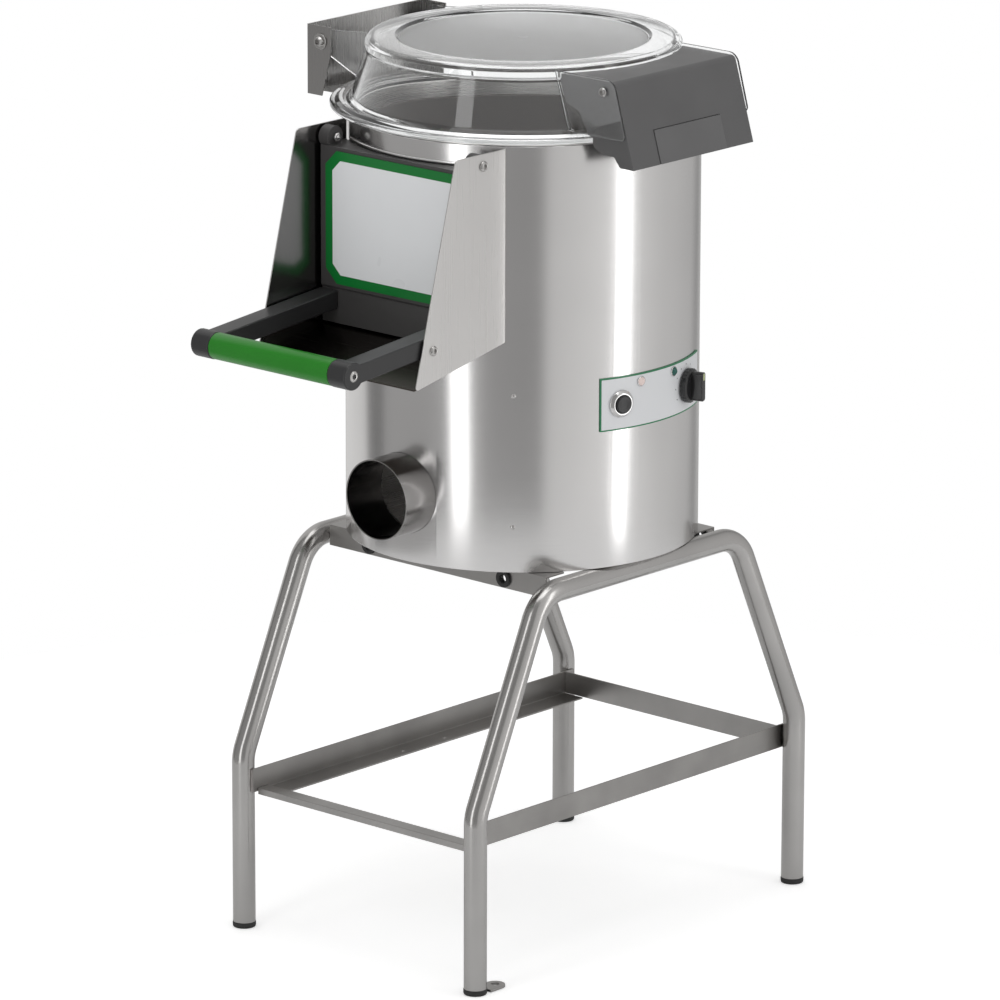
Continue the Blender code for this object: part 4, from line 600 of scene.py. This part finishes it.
drumShape = {"radius": 0.193, "wall": 0.0015, "low": 0.4355, "high": 0.903, "sides": 240,
             "chamberRadius": 0.184, "chamberLow": 0.6538, "flangeLow": 0.9033, "flangeHigh": 0.9048,
             "liningInner": 0.1772, "liningOuter": 0.1822, "liningLow": 0.674, "liningHigh": 0.882,
             "doorHalf": 0.095, "doorLow": 0.688, "doorHigh": 0.876, "sealInner": 0.1845,
             "sealOuter": 0.190, "rivetAzimuths": (-39, 39, 141, 219), "rivetHeights": (0.631, 0.486),
             "toolPast": 0.02, "toolInside": 0.064}
rearHoles = {"inlet": (math.pi, 0.840, 0.0108), "gland": (math.radians(158), 0.530, 0.0083)}
spoutShape = {"radius": 0.0444, "wall": 0.0015, "z": 0.5108, "mouth": 0.2345, "inside": 0.1805}
panelShape = {"start": math.radians(67.2), "end": math.radians(119.0), "low": 0.587, "high": 0.6455,
              "thickness": 0.0015, "border": 0.0016, "borderDrop": 0.0003, "faceRise": 0.0004}
buttonShape = {"azimuth": math.radians(74.8), "z": 0.6157, "bezel": 0.015, "height": 0.0045,
               "barrel": 0.0108, "bore": 0.0092, "mouth": 0.0099, "stem": 0.0089, "cap": 0.0096,
               "depth": 0.040, "rim": 0.0014, "slope": 0.0030, "lip": 0.0006, "lipLow": 0.0036,
               "shoulder": 0.001, "well": 0.0158, "stemDepth": 0.012, "capLow": 0.0030,
               "capSide": 0.0060, "capEdge": 0.0012, "capHigh": 0.0068, "dish": 0.004,
               "dishEdge": 0.0064, "dishLow": 0.0062}
lampShape = {"radius": 0.0045, "ring": 0.0056, "barrel": 0.0034, "depth": 0.020, "side": 0.0018,
             "crown": 0.0038, "shoulder": 0.0022, "shoulderHigh": 0.0036, "ringLow": 0.0010,
             "ringHigh": 0.0014}
lampSpots = {"clear": (math.radians(82.6), 0.6366), "green": (math.radians(98.5), 0.6375)}
knobShape = {"azimuth": math.radians(107.0), "z": 0.6158, "radius": 0.0190, "top": 0.0160,
             "low": 0.0012, "skirt": 0.006, "height": 0.020, "barHalf": 0.0046, "spindle": 0.003,
             "hole": 0.0054, "crown": 0.0012, "flute": 0.00035, "flutes": 24, "pointerHalf": 0.0013,
             "pointerEnd": 0.0012, "marks": 0.0236, "markSize": 0.28, "spindleDepth": 0.013}


def drumHoles():
    # tools for the doorway and then for the round holes, the spout's first and the inlet's last
    s = drumShape
    reach = s["radius"] + s["toolPast"]
    near = s["liningInner"] - s["toolInside"]
    half = s["doorHalf"]
    doorway = plateMesh("doorwayTool", [(-half, s["doorLow"]), (half, s["doorLow"]),
                                        (half, s["doorHigh"]), (-half, s["doorHigh"])],
                        reach, (0, -reach, 0), (1, 0, 0), (0, 0, 1))
    tools = [cutter("doorwayTool", doorway)]
    radial = [(0.0, spoutShape["z"], spoutShape["radius"] + seatGap),
              (buttonShape["azimuth"], buttonShape["z"], buttonShape["barrel"] + seatGap),
              (knobShape["azimuth"], knobShape["z"], knobShape["hole"]), rearHoles["gland"]]
    radial += [(azimuth, z, lampShape["barrel"] + seatGap) for azimuth, z in lampSpots.values()]
    radial += [rearHoles["inlet"]]
    for at, (azimuth, z, radius) in enumerate(radial):
        profile = [(0, near), (radius, near), (radius, reach), (0, reach)]
        mesh = turnedMesh("holeTool", profile, (0, 0, z), outward(azimuth), 64)
        tools.append(cutter("holeTool" + str(at), mesh))
    return tools


def wallRing(name, profile, finish, node, tools):
    mesh = turnedMesh(name, profile, sides=drumShape["sides"], closed=True)
    piece = addPiece(name, mesh, finish, "machine", [node])
    cutBy(piece, tools)
    piece.data.materials.clear()
    piece.data.materials.append(finish)


def makeDrum():
    s = drumShape
    tools = drumHoles()
    outer, inner = s["radius"], s["radius"] - s["wall"]
    casing = rounded([(inner, s["low"]), (outer, s["low"]), (outer, s["high"]), (inner, s["high"])],
                     [0, 0.0006, 0.0006, 0], 3, closed=True)
    wallRing("drum_wall", casing, drumSteel, "casing_drum", tools)
    outer, inner = s["chamberRadius"], s["chamberRadius"] - s["wall"]
    chamber = rounded([(inner, s["chamberLow"]), (outer, s["chamberLow"]), (outer, s["flangeLow"]),
                       (s["radius"], s["flangeLow"]), (s["radius"], s["flangeHigh"]),
                       (inner, s["flangeHigh"])], [0, 0, 0, 0.0006, 0.0006, 0.0015], 4, closed=True)
    throughAll = [tools[0], tools[-1]]
    wallRing("chamber_wall", chamber, innerSteel, "peeling_chamber", throughAll)
    lining = rounded([(s["liningInner"], s["liningLow"]), (s["liningOuter"], s["liningLow"]),
                      (s["liningOuter"], s["liningHigh"]), (s["liningInner"], s["liningHigh"])],
                     [0.001, 0, 0, 0.002], 4, closed=True)
    wallRing("lining_wall", lining, grit, "abrasive_lining", throughAll)
    dropTools(tools)
    low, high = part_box("rim_seal")
    seal = rounded([(s["sealInner"], low.z), (s["sealOuter"], low.z), (s["sealOuter"], high.z),
                    (s["sealInner"], high.z)], 0.0012, 5, closed=True)
    addPiece("lid_seal_ring", turnedMesh("lid_seal_ring", seal, sides=180, closed=True), blackRubber,
             "machine", ["rim_seal"])


def makeSpout():
    s = spoutShape
    inner = s["radius"] - s["wall"]
    profile = rounded([(inner, s["inside"]), (s["radius"], s["inside"]), (s["radius"], s["mouth"]),
                       (inner, s["mouth"])], [0, 0, 0.0005, 0.0005], 4, closed=True)
    mesh = turnedMesh("spout_pipe", profile, (0, 0, s["z"]), (0, -1, 0), 120, closed=True)
    addPiece("spout_pipe", mesh, spoutSteel, "machine", ["drain_spout"])


def makeDrumFasteners():
    # pairs of rivets at four azimuths round the drum
    s = drumShape
    for azimuth in s["rivetAzimuths"]:
        direction = outward(math.radians(azimuth))
        for z in s["rivetHeights"]:
            place = direction * s["radius"] + np.array([0, 0, z])
            rivet(f"drum_rivet_{azimuth % 360}_{round(z * 1000)}", place, direction)


makeDrum()
makeSpout()
makeDrumFasteners()
print("drum ready")


# Lid: one clear moulding with ears, the dark cover over its handle and the hinge

lidShape = {"low": 0.9084, "wall": 0.004, "edge": 0.2095, "edgeHeight": 0.0052, "bead": 0.1975,
            "beadHeight": 0.0085, "beadHalf": 0.006, "coneLow": 0.186, "coneLowZ": 0.920,
            "coneHigh": 0.1705, "coneHighZ": 0.9705, "step": 0.0015, "crownEdgeZ": 0.9795,
            "crownZ": 0.9845, "crownOuter": 0.1665, "crownInner": 0.1385, "well": 0.135,
            "wellZ": 0.9815, "dimple": 0.006, "dimpleDepth": 0.0012, "lip": 0.0026, "beadFoot": 0.0015,
            "beadFlat": 0.002, "wellSlope": 0.002}
earShape = {"half": 0.0978, "thickness": 0.003, "topZ": 0.980, "rootTopZ": 0.976, "lowZ": 0.9165,
            "rootLowZ": 0.9225, "topX": 0.2175, "lowX": 0.2352, "topCorner": 0.014, "lowCorner": 0.006,
            "softness": 0.0011, "screwX": 0.203, "screwZ": 0.966, "screwRadius": 0.0052,
            "screwHeight": 0.0026}
coverShape = {"lowX": 0.2438, "lean": 0.3, "padLow": 0.8865, "padHigh": 0.9222, "padHalf": 0.0536,
              "padThick": 0.0019, "proud": 0.0010, "softness": 0.0005}
hingeShape = {"x": -0.213, "z": 0.961, "end": 0.0132, "lowZ": 0.927, "face": 0.0912, "thickness": 0.004,
              "bracketHalf": 0.093, "washer": 0.009, "washerThick": 0.0015, "head": 0.0062,
              "headHeight": 0.0045, "bolt": 0.004, "nut": 0.006, "saddle": 0.002,
              "saddleTurns": (-14, 14), "saddleHeights": (0.872, 0.888)}


def lidWallX(z, y):
    # middle of the cone's wall at a height and a distance from the middle plane
    s = lidShape
    share = (z - s["coneLowZ"]) / (s["coneHighZ"] - s["coneLowZ"])
    radius = s["coneLow"] + (s["coneHigh"] - s["coneLow"]) * share - s["wall"] / 2
    return math.sqrt(radius * radius - y * y)


def makeLid():
    s = lidShape
    wall = s["wall"]
    top = s["low"] + s["edgeHeight"]
    floor, crown = s["wellZ"] - wall, s["crownZ"] - wall
    bead, beadTop = s["bead"], s["low"] + s["beadHeight"]
    corners = [(0, s["wellZ"] - s["dimpleDepth"], 0), (s["dimple"] / 2, s["wellZ"] - s["dimpleDepth"], 0.002),
               (s["dimple"], s["wellZ"], 0.003), (s["well"], s["wellZ"], 0.002),
               (s["crownInner"], s["crownZ"], 0.0025), (s["crownOuter"], s["crownZ"], 0.006),
               (s["coneHigh"] + s["step"], s["crownEdgeZ"], 0.003),
               (s["coneHigh"] + s["step"], s["coneHighZ"] + s["lip"], 0.0012),
               (s["coneHigh"], s["coneHighZ"], 0.0015), (s["coneLow"], s["coneLowZ"], 0.004),
               (bead - s["beadHalf"], top + s["beadFoot"], 0.002),
               (bead - s["beadFlat"], beadTop, 0.002), (bead + s["beadFlat"], beadTop, 0.002),
               (bead + s["beadHalf"], top + sink, 0.002),
               (s["edge"], top, 0.0018), (s["edge"], s["low"], 0.0018),
               (s["coneLow"] - wall, s["low"], 0.0008),
               (s["coneLow"] - wall, s["coneLowZ"] - wall, 0.003),
               (s["coneHigh"] - wall, s["coneHighZ"] - wall, 0.004),
               (s["crownOuter"] - wall / 2, crown, 0.004), (s["well"] + s["wellSlope"], crown, 0.002),
               (s["well"] - s["wellSlope"], floor, 0.002), (0, floor, 0)]
    corners = np.array(corners)
    profile = rounded(corners[:, :2], corners[:, 2], 5)
    addPiece("lid_moulding", turnedMesh("lid_moulding", profile, sides=240), clearPlastic, "lid",
             ["lid_dome"])


def addEars(name, outline, inner, thickness):
    # the same ear before and behind the middle plane, from its inner face outwards
    for start, word in ((-inner - thickness, "front"), (inner, "rear")):
        mesh = plateMesh(name + word, outline, thickness, (0, start, 0), (1, 0, 0), (0, 0, 1))
        piece = addPiece(name + word, mesh, clearPlastic, "lid")
        softenEdges(piece, earShape["softness"], 4)


def makeEars():
    s = earShape
    middle = s["half"] + s["thickness"] / 2
    outline = rounded([(lidWallX(s["rootTopZ"], middle), s["topZ"]), (s["topX"], s["topZ"]),
                       (s["lowX"], s["lowZ"]), (lidWallX(s["rootLowZ"], middle), s["lowZ"])],
                      [0.001, s["topCorner"], s["lowCorner"], 0.001], 8, closed=True)
    addEars("cover_ear_", outline, s["half"], s["thickness"])
    h = hingeShape
    middle = h["face"] - h["thickness"] / 2
    turn = np.linspace(math.radians(80), math.radians(290), 22)
    tip = np.stack([h["x"] + h["end"] * np.cos(turn), h["z"] + h["end"] * np.sin(turn)], axis=-1)
    outline = np.concatenate([[(-lidWallX(s["rootTopZ"], middle), s["topZ"])], tip,
                              [(-lidWallX(h["lowZ"], middle), h["lowZ"])]])
    addEars("hinge_ear_", outline, h["face"] - h["thickness"], h["thickness"])


def makeHinge():
    h = hingeShape
    dressed("hinge_bracket", bracketSteel, 0.0004)
    for side, word in ((-1, "front"), (1, "rear")):
        face = h["bracketHalf"] + seatGap
        seat = face + h["washerThick"]
        nutFace = h["face"] - h["thickness"] - seatGap - seat
        away = (0, side, 0)
        washer = rounded([(h["bolt"], face), (h["washer"], face), (h["washer"], seat),
                          (h["bolt"], seat)], 0.0004, 3, closed=True)
        mesh = turnedMesh("hinge_washer_" + word, washer, (h["x"], 0, h["z"]), away, 64, closed=True)
        addPiece("hinge_washer_" + word, mesh, screwSteel, "machine")
        shank = [(h["bolt"], 0), (h["bolt"], nutFace), (h["head"], nutFace),
                 (h["head"], nutFace - h["nut"]), (0, nutFace - h["nut"])]
        socketScrew("hinge_bolt_head_" + word, (h["x"], side * seat, h["z"]), away, "machine", h["head"],
                    h["headHeight"], ["hinge_bolt_" + word], shank)
    reach = drumShape["radius"] + seatGap + h["saddle"]
    for azimuth in h["saddleTurns"]:
        direction = outward(math.radians(270 + azimuth))
        for z in h["saddleHeights"]:
            place = direction * reach + np.array([0, 0, z])
            rivet(f"saddle_rivet_{azimuth + 90}_{round(z * 1000)}", place, direction)


def makeCover():
    dressed("lid_cover", darkPlastic, 0.0008, 3, 25.0)
    c = coverShape
    slope = unit((-c["lean"], 0, 1))
    rise = (c["padHigh"] - c["padLow"]) / slope[2]
    half = c["padHalf"]
    outline = rounded([(-half, 2 * sink), (half, 2 * sink), (half, rise), (-half, rise)], 0.0012, 4, True)
    place = (c["lowX"] + c["proud"], 0, c["padLow"])
    mesh = plateMesh("cover_pad", outline, c["padThick"], place, (0, 1, 0), slope)
    softenEdges(addPiece("cover_pad", mesh, padPlastic, "lid"), c["softness"], 3)
    e = earShape
    for side, word in ((-1, "front"), (1, "rear")):
        place = (e["screwX"], side * (e["half"] + e["thickness"]), e["screwZ"])
        socketScrew("cover_screw_" + word, place, (0, side, 0), "lid", e["screwRadius"], e["screwHeight"])


makeLid()
makeEars()
makeHinge()
makeCover()
print("lid ready")


# Chute and discharge door

doorShape = {"labelHalf": 0.1015, "labelLow": 0.730, "labelHigh": 0.876, "corner": 0.016,
             "face": 0.2033, "film": 0.0008, "border": 0.0102, "handleY": 0.388, "handleZ": 0.695,
             "armInner": 0.0865, "armOuter": 0.112, "grip": 0.0145, "pivotY": 0.192, "pivotZ": 0.888,
             "endScrewRadius": 0.0060, "endScrewHeight": 0.0016, "endScrewSink": 0.0006,
             "cornerShare": 0.45}
chuteShape = {"nutFace": 0.0979, "nutReach": 0.0052, "nutHeight": 0.0030, "boltReach": 0.0026,
              "boltEnd": 0.0012, "pinLength": 0.0172, "lipTurn": math.radians(31), "lipLow": 0.8805,
              "lipHigh": 0.8835, "lipThickness": 0.0019, "plateFace": 0.1158, "screwY": 0.2696,
              "screwZ": 0.7016, "screwRadius": 0.0056, "screwHeight": 0.0028}


def octagon(half, low, high, corner):
    return [(-half, low + corner), (-half + corner, low), (half - corner, low), (half, low + corner),
            (half, high - corner), (half - corner, high), (-half + corner, high), (-half, high - corner)]


def makeChute():
    c = chuteShape
    # the plates' inner faces take the darker steel copy, painted shade facing the chute
    facesTowards(dressed("chute_side_left", plateSteel, 0.0003), (1, 0, 0), plateInnerPaintedShade)
    facesTowards(dressed("chute_side_right", plateSteel, 0.0003), (-1, 0, 0), plateInnerPaintedShade)
    # the chute's floor takes the near-black steel, painted shade
    dressed("chute_floor", chuteFloorPaintedShade, 0.0003)
    inner = drumShape["radius"] + seatGap
    # the lip's brighter steel paints the bright line along the doorway's top edge, a painted highlight
    mesh = curvedMesh("doorway_lip", inner, inner + c["lipThickness"], -c["lipTurn"], c["lipTurn"],
                      c["lipLow"], c["lipHigh"], 80, 0.0008)
    addPiece("doorway_lip", mesh, rimHighlightSteel, "machine")
    shank = [(screwShape["shank"], 0), (screwShape["shank"], -c["pinLength"]), (0, -c["pinLength"])]
    nutTop = c["nutHeight"] + c["boltEnd"]
    nut = rounded([(0, 0), (c["nutReach"], 0), (c["nutReach"], c["nutHeight"]),
                   (c["boltReach"], c["nutHeight"]), (c["boltReach"], nutTop), (0, nutTop)],
                  [0, 0, 0.0004, 0, 0.0004, 0], 3)
    pivot = (-doorShape["pivotY"], doorShape["pivotZ"])
    for side, word in ((-1, "left"), (1, "right")):
        socketScrew("door_pivot_screw_" + word, (side * (c["plateFace"] + seatGap), *pivot), (side, 0, 0),
                    "machine", screwShape["radius"], c["screwHeight"], ["door_pin_" + word], shank)
        mesh = turnedMesh("pivot_nut_" + word, nut, (side * c["nutFace"], *pivot), (-side, 0, 0), 6)
        addPiece("pivot_nut_" + word, mesh, chrome, "machine")
        socketScrew("chute_screw_" + word, (side * c["plateFace"], -c["screwY"], c["screwZ"]),
                    (side, 0, 0), "machine", c["screwRadius"], c["screwHeight"])


def makeDoor():
    d = doorShape
    dressed("door_panel", doorPlastic, 0.0010, 3, 40.0)
    outline = rounded(octagon(d["labelHalf"], d["labelLow"], d["labelHigh"], d["corner"]), 0.001, 3, True)
    front = -d["face"] - d["film"]
    mesh = plateMesh("label_border", outline, d["film"], (0, front, 0), (1, 0, 0), (0, 0, 1))
    addPiece("label_border", mesh, labelGreen, "discharge_door", ["door_label"])
    inset = d["border"]
    outline = rounded(octagon(d["labelHalf"] - inset, d["labelLow"] + inset, d["labelHigh"] - inset,
                              d["corner"] - inset * d["cornerShare"]), 0.0008, 3, True)
    mesh = plateMesh("label_face", outline, 2 * sink, (0, front - sink, 0), (1, 0, 0), (0, 0, 1))
    addPiece("label_face", mesh, labelPale, "discharge_door")


def makeHandle():
    d = doorShape
    for node in ("door_arm_left", "door_arm_right"):
        dressed(node, armPlastic, 0.0022, 4, 40.0)
    end = d["armInner"] - seatGap
    profile = rounded([(0, -end), (d["grip"], -end), (d["grip"], end), (0, end)], [0, 0.0006, 0.0006, 0], 3)
    mesh = turnedMesh("green_grip", profile, (0, -d["handleY"], d["handleZ"]), (1, 0, 0), 96)
    addPiece("green_grip", mesh, greenPlastic, "discharge_door", ["handle_grip"])
    for side, word in ((-1, "left"), (1, "right")):
        place = (side * (d["armOuter"] - d["endScrewSink"]), -d["handleY"], d["handleZ"])
        socketScrew("grip_screw_" + word, place, (side, 0, 0), "discharge_door", d["endScrewRadius"],
                    d["endScrewHeight"])


makeChute()
makeDoor()
makeHandle()
print("door ready")


# Control panel

def onPanel(azimuth, z):
    direction = outward(azimuth)
    face = drumShape["radius"] + seatGap + panelShape["thickness"]
    return direction * face + np.array([0, 0, z]), direction


def makePanel():
    p = panelShape
    inner = drumShape["radius"] + seatGap
    outer = inner + p["thickness"]
    mesh = curvedMesh("panel_border", inner, outer - p["borderDrop"], p["start"], p["end"],
                      p["low"], p["high"], 90)
    addPiece("panel_border", mesh, panelGreen, "machine", ["control_panel"])
    turnIn = p["border"] / outer
    mesh = curvedMesh("panel_face", inner + p["faceRise"], outer, p["start"] + turnIn, p["end"] - turnIn,
                      p["low"] + p["border"], p["high"] - p["border"], 90)
    addPiece("panel_face", mesh, panelPale, "machine")


def makeButton():
    b = buttonShape
    place, direction = onPanel(b["azimuth"], b["z"])
    profile = rounded([(0, -b["depth"]), (b["barrel"], -b["depth"]), (b["barrel"], seatGap),
                       (b["bezel"], seatGap), (b["bezel"], b["rim"]), (b["bezel"] - b["slope"], b["height"]),
                       (b["mouth"] + b["lip"], b["height"]), (b["mouth"], b["lipLow"]),
                       (b["mouth"], -b["shoulder"]), (b["bore"], -b["shoulder"]),
                       (b["bore"], -b["well"]), (0, -b["well"])],
                      [0, 0.001, 0, 0.0004, 0.0010, 0.0016, 0.0006, 0.0004, 0, 0, 0, 0], 5)
    addPiece("button_ring", turnedMesh("button_ring", profile, place, direction, 96), chrome,
             "machine", ["button_bezel"])
    cap = rounded([(0, -b["stemDepth"]), (b["stem"], -b["stemDepth"]), (b["stem"], b["capLow"]),
                   (b["cap"], b["capLow"]), (b["cap"], b["capSide"]), (b["cap"] - b["capEdge"], b["capHigh"]),
                   (b["dish"], b["dishEdge"]), (0, b["dishLow"])],
                  [0, 0, 0, 0, 0.0006, 0.0008, 0.002, 0], 5)
    addPiece("button_cap", turnedMesh("button_cap", cap, place, direction, 96), blackPlastic,
             "push_button", ["start_button"])


def makeLamps():
    s = lampShape
    lenses = {"clear": lensClear, "green": lensGreen}
    for word, (azimuth, z) in lampSpots.items():
        place, direction = onPanel(azimuth, z)
        profile = rounded([(0, -s["depth"]), (s["barrel"], -s["depth"]), (s["barrel"], seatGap),
                           (s["radius"], seatGap), (s["radius"], s["side"]),
                           (s["shoulder"], s["shoulderHigh"]), (0, s["crown"])],
                          [0, 0, 0, 0, 0.0012, 0.0016, 0], 5)
        name = "lamp_lens_" + word
        addPiece(name, turnedMesh(name, profile, place, direction, 48), lenses[word], "machine",
                 ["lamp_" + word])
        inner = s["radius"] + sink
        ringShape = rounded([(inner, seatGap), (s["ring"], seatGap), (s["ring"], s["ringLow"]),
                             (inner, s["ringHigh"])], 0.0003, 3, True)
        name = "lamp_ring_" + word
        addPiece(name, turnedMesh(name, ringShape, place, direction, 48, closed=True), chrome,
                 "machine")


def makeKnob():
    # the skirt's edge has shallow flutes: the radius dips with the turn's cosine
    k = knobShape
    place, direction = onPanel(k["azimuth"], k["z"])
    low, high = k["low"], k["low"] + k["skirt"]
    crown = high + k["crown"]
    profile = rounded([(0, -k["spindleDepth"]), (k["spindle"], -k["spindleDepth"]), (k["spindle"], low),
                       (k["radius"], low), (k["radius"], high), (k["top"], crown), (0, crown)],
                      [0, 0, 0, 0.0006, 0.0010, 0.0010, 0], 5)

    def fluted(radius, heights, turn):
        dip = k["flute"] * (0.5 + 0.5 * np.cos(turn * k["flutes"]))
        return np.where(radius > k["top"], radius - dip, radius)

    mesh = turnedMesh("knob_body", profile, place, direction, 192, edge=fluted)
    addPiece("knob_body", mesh, blackPlastic, "timer_dial", ["timer_knob"])
    across, along, direction = sideways(direction)
    half, length, top = k["barHalf"], k["top"], low + k["height"]
    outline = rounded([(-half, -length), (half, -length), (half, length), (-half, length)], half * 0.7, 6,
                      True)
    base = place + direction * top
    mesh = plateMesh("knob_bar", outline, top - high - k["crown"] / 2, base, across, along)
    softenEdges(addPiece("knob_bar", mesh, blackPlastic, "timer_dial"), 0.0010, 3)
    half, start, end = k["pointerHalf"], length * 0.45, length - k["pointerEnd"]
    strip = rounded([(-half, start), (half, start), (half, end), (-half, end)], 0.0006, 3, True)
    mesh = plateMesh("knob_pointer", strip, 2 * sink, base + direction * sink / 2, across, along)
    addPiece("knob_pointer", mesh, pointerPale, "timer_dial")
    for at, angle in enumerate(np.radians(np.arange(-120, 151, 30))):
        turned = k["azimuth"] + k["marks"] * math.sin(angle) / drumShape["radius"]
        dot, away = onPanel(turned, k["z"] + k["marks"] * math.cos(angle))
        rivet(f"dial_mark_{at}", dot, away, k["markSize"], 12, markDark)


makePanel()
makeButton()
makeLamps()
makeKnob()
for node in ("water_inlet", "cable_gland"):
    dressed(node, slotFinish[slotOf[node]], 0.0004)
print("panel ready")


# Studio: pale floor, soft lamps and greys round the machine that the steel shows

studioShape = {"floorRadius": 1.15, "floorGrey": 0.86, "floorGlow": 0.45, "stripReach": 2.0,
               "stripHeight": 3.2, "stripZ": 0.45, "fillLevel": 0.62, "topPlace": (0.1, -0.2, 2.5),
               "topAim": (0, 0, 0.8), "topSize": 1.5, "topRadiance": 1.6, "floorThick": 0.01,
               "floorDrop": 0.0004}
# azimuth, width and radiance of each upright lamp
stripLamps = {"frontStrip": (2.0, 0.40, 2.1), "sideStrip": (107.0, 0.34, 2.1)}
# grey of the surround by azimuth in degrees
surroundGreys = {-165: 0.30, -150: 0.50, -116: 0.72, -84: 0.70, -78: 0.22, -63: 0.20, -58: 0.38, -14: 0.36,
                 -9: 0.26, 8: 0.40, 24: 0.32, 52: 0.30, 60: 0.64, 98: 0.74, 126: 0.66, 150: 0.58, 179: 0.50}


def makeFloor():
    turn = np.linspace(0, 2 * np.pi, 128, endpoint=False)
    reach = studioShape["floorRadius"]
    outline = np.stack([reach * np.cos(turn), reach * np.sin(turn)], axis=-1)
    place = (0, 0, -studioShape["floorDrop"])
    mesh = plateMesh("floor", outline, studioShape["floorThick"], place, (1, 0, 0), (0, 1, 0))
    finish, tree, shader = startFinish("floorPaint", 3 * (studioShape["floorGrey"],), 0.9)
    rays = addNode(tree, "LightPath")
    glow = addNode(tree, "Math", {1: studioShape["floorGlow"]}, operation="MULTIPLY")
    tree.links.new(rays.outputs["Is Camera Ray"], glow.inputs[0])
    shader.inputs["Emission Color"].default_value = (1, 1, 1, 1)
    tree.links.new(glow.outputs["Value"], shader.inputs["Emission Strength"])
    floor = bpy.data.objects.new("floor", mesh)
    bpy.context.scene.collection.objects.link(floor)
    mesh.materials.append(finish)


def makeSurround():
    # the world is white where the camera or clear plastic looks at it, an even grey for soft
    # light, and a ring of soft greys by azimuth for what the steel mirrors
    surround = bpy.data.worlds.new("surround")
    bpy.context.scene.world = surround
    surround.use_nodes = True
    tree = surround.node_tree
    place = addNode(tree, "TexCoord")
    azimuth = addNode(tree, "TexGradient", gradient_type="RADIAL")
    greys = addNode(tree, "ValToRGB")
    ramp = greys.color_ramp
    ramp.interpolation = "EASE"
    stops = sorted(((angle / 360 + 0.25) % 1.0, level) for angle, level in surroundGreys.items())
    while len(ramp.elements) < len(stops):
        ramp.elements.new(1.0)
    for element, (at, level) in zip(ramp.elements, stops):
        element.position = at
        element.color = (level, level * 0.992, level * 0.984, 1.0)
    tree.links.new(place.outputs["Generated"], azimuth.inputs["Vector"])
    tree.links.new(azimuth.outputs["Fac"], greys.inputs["Fac"])
    rays = addNode(tree, "LightPath").outputs
    white = rays["Is Camera Ray"]
    for ray in ("Is Transmission Ray", "Is Singular Ray"):
        either = addNode(tree, "Math", operation="MAXIMUM")
        tree.links.new(white, either.inputs[0])
        tree.links.new(rays[ray], either.inputs[1])
        white = either.outputs["Value"]
    fill = 3 * (studioShape["fillLevel"],)
    mirrored = mixColours(tree, rays["Is Diffuse Ray"], greys.outputs["Color"], fill)
    seen = mixColours(tree, white, mirrored, (1.0, 1.0, 1.0))
    background = tree.nodes["Background"]
    tree.links.new(seen, background.inputs["Color"])
    background.inputs["Strength"].default_value = 1.0


def addLamp(name, place, target, width, height, radiance):
    # an area lamp's power is its radiance times pi times its area
    lamp = bpy.data.lights.new(name, "AREA")
    lamp.shape = "RECTANGLE"
    lamp.size = width
    lamp.size_y = height
    lamp.energy = radiance * math.pi * width * height
    holder = bpy.data.objects.new(name, lamp)
    bpy.context.scene.collection.objects.link(holder)
    holder.location = Vector(place)
    aim = Vector(target) - Vector(place)
    holder.rotation_euler = aim.to_track_quat("-Z", "Y").to_euler()
    holder.visible_camera = False


def hangLamps():
    s = studioShape
    for name, (azimuth, width, radiance) in stripLamps.items():
        place = world(outward(math.radians(azimuth)) * s["stripReach"]) + np.array([0, 0, s["stripZ"]])
        addLamp(name, place, world((0, 0, s["stripZ"])), width, s["stripHeight"], radiance)
    size = s["topSize"]
    addLamp("topBox", world(s["topPlace"]), world(s["topAim"]), size, size, s["topRadiance"])


cameraShape = {"azimuth": 0.7338, "elevation": 0.2641, "roll": 0.0025, "distance": 8.47759,
               "side": -0.0324559, "height": 0.4583099, "focal": 7.71458}


def makeCamera():
    # the camera looks back along the direction its azimuth and elevation give, rolled a hair
    c = cameraShape
    azimuth, elevation = c["azimuth"], c["elevation"]
    back = np.array([math.sin(azimuth) * math.cos(elevation), -math.cos(azimuth) * math.cos(elevation),
                     math.sin(elevation)])
    right = unit(np.cross(-back, (0, 0, 1)))
    up = np.cross(right, -back)
    turnedRight = right * math.cos(c["roll"]) + up * math.sin(c["roll"])
    turnedUp = up * math.cos(c["roll"]) - right * math.sin(c["roll"])
    lens = bpy.data.cameras.new("camera")
    lens.sensor_width = 36.0
    lens.lens = c["focal"] * lens.sensor_width
    lens.clip_end = 40.0
    camera = bpy.data.objects.new("camera", lens)
    bpy.context.scene.collection.objects.link(camera)
    place = world((c["side"], 0, c["height"])) + back * c["distance"]
    matrix = np.eye(4)
    matrix[:3, 0], matrix[:3, 1], matrix[:3, 2], matrix[:3, 3] = turnedRight, turnedUp, back, place
    camera.matrix_world = Matrix(matrix.tolist())
    bpy.context.scene.camera = camera


makeFloor()
makeSurround()
hangLamps()
makeCamera()
bpy.context.scene.view_settings.view_transform = "Standard"
print("studio ready")
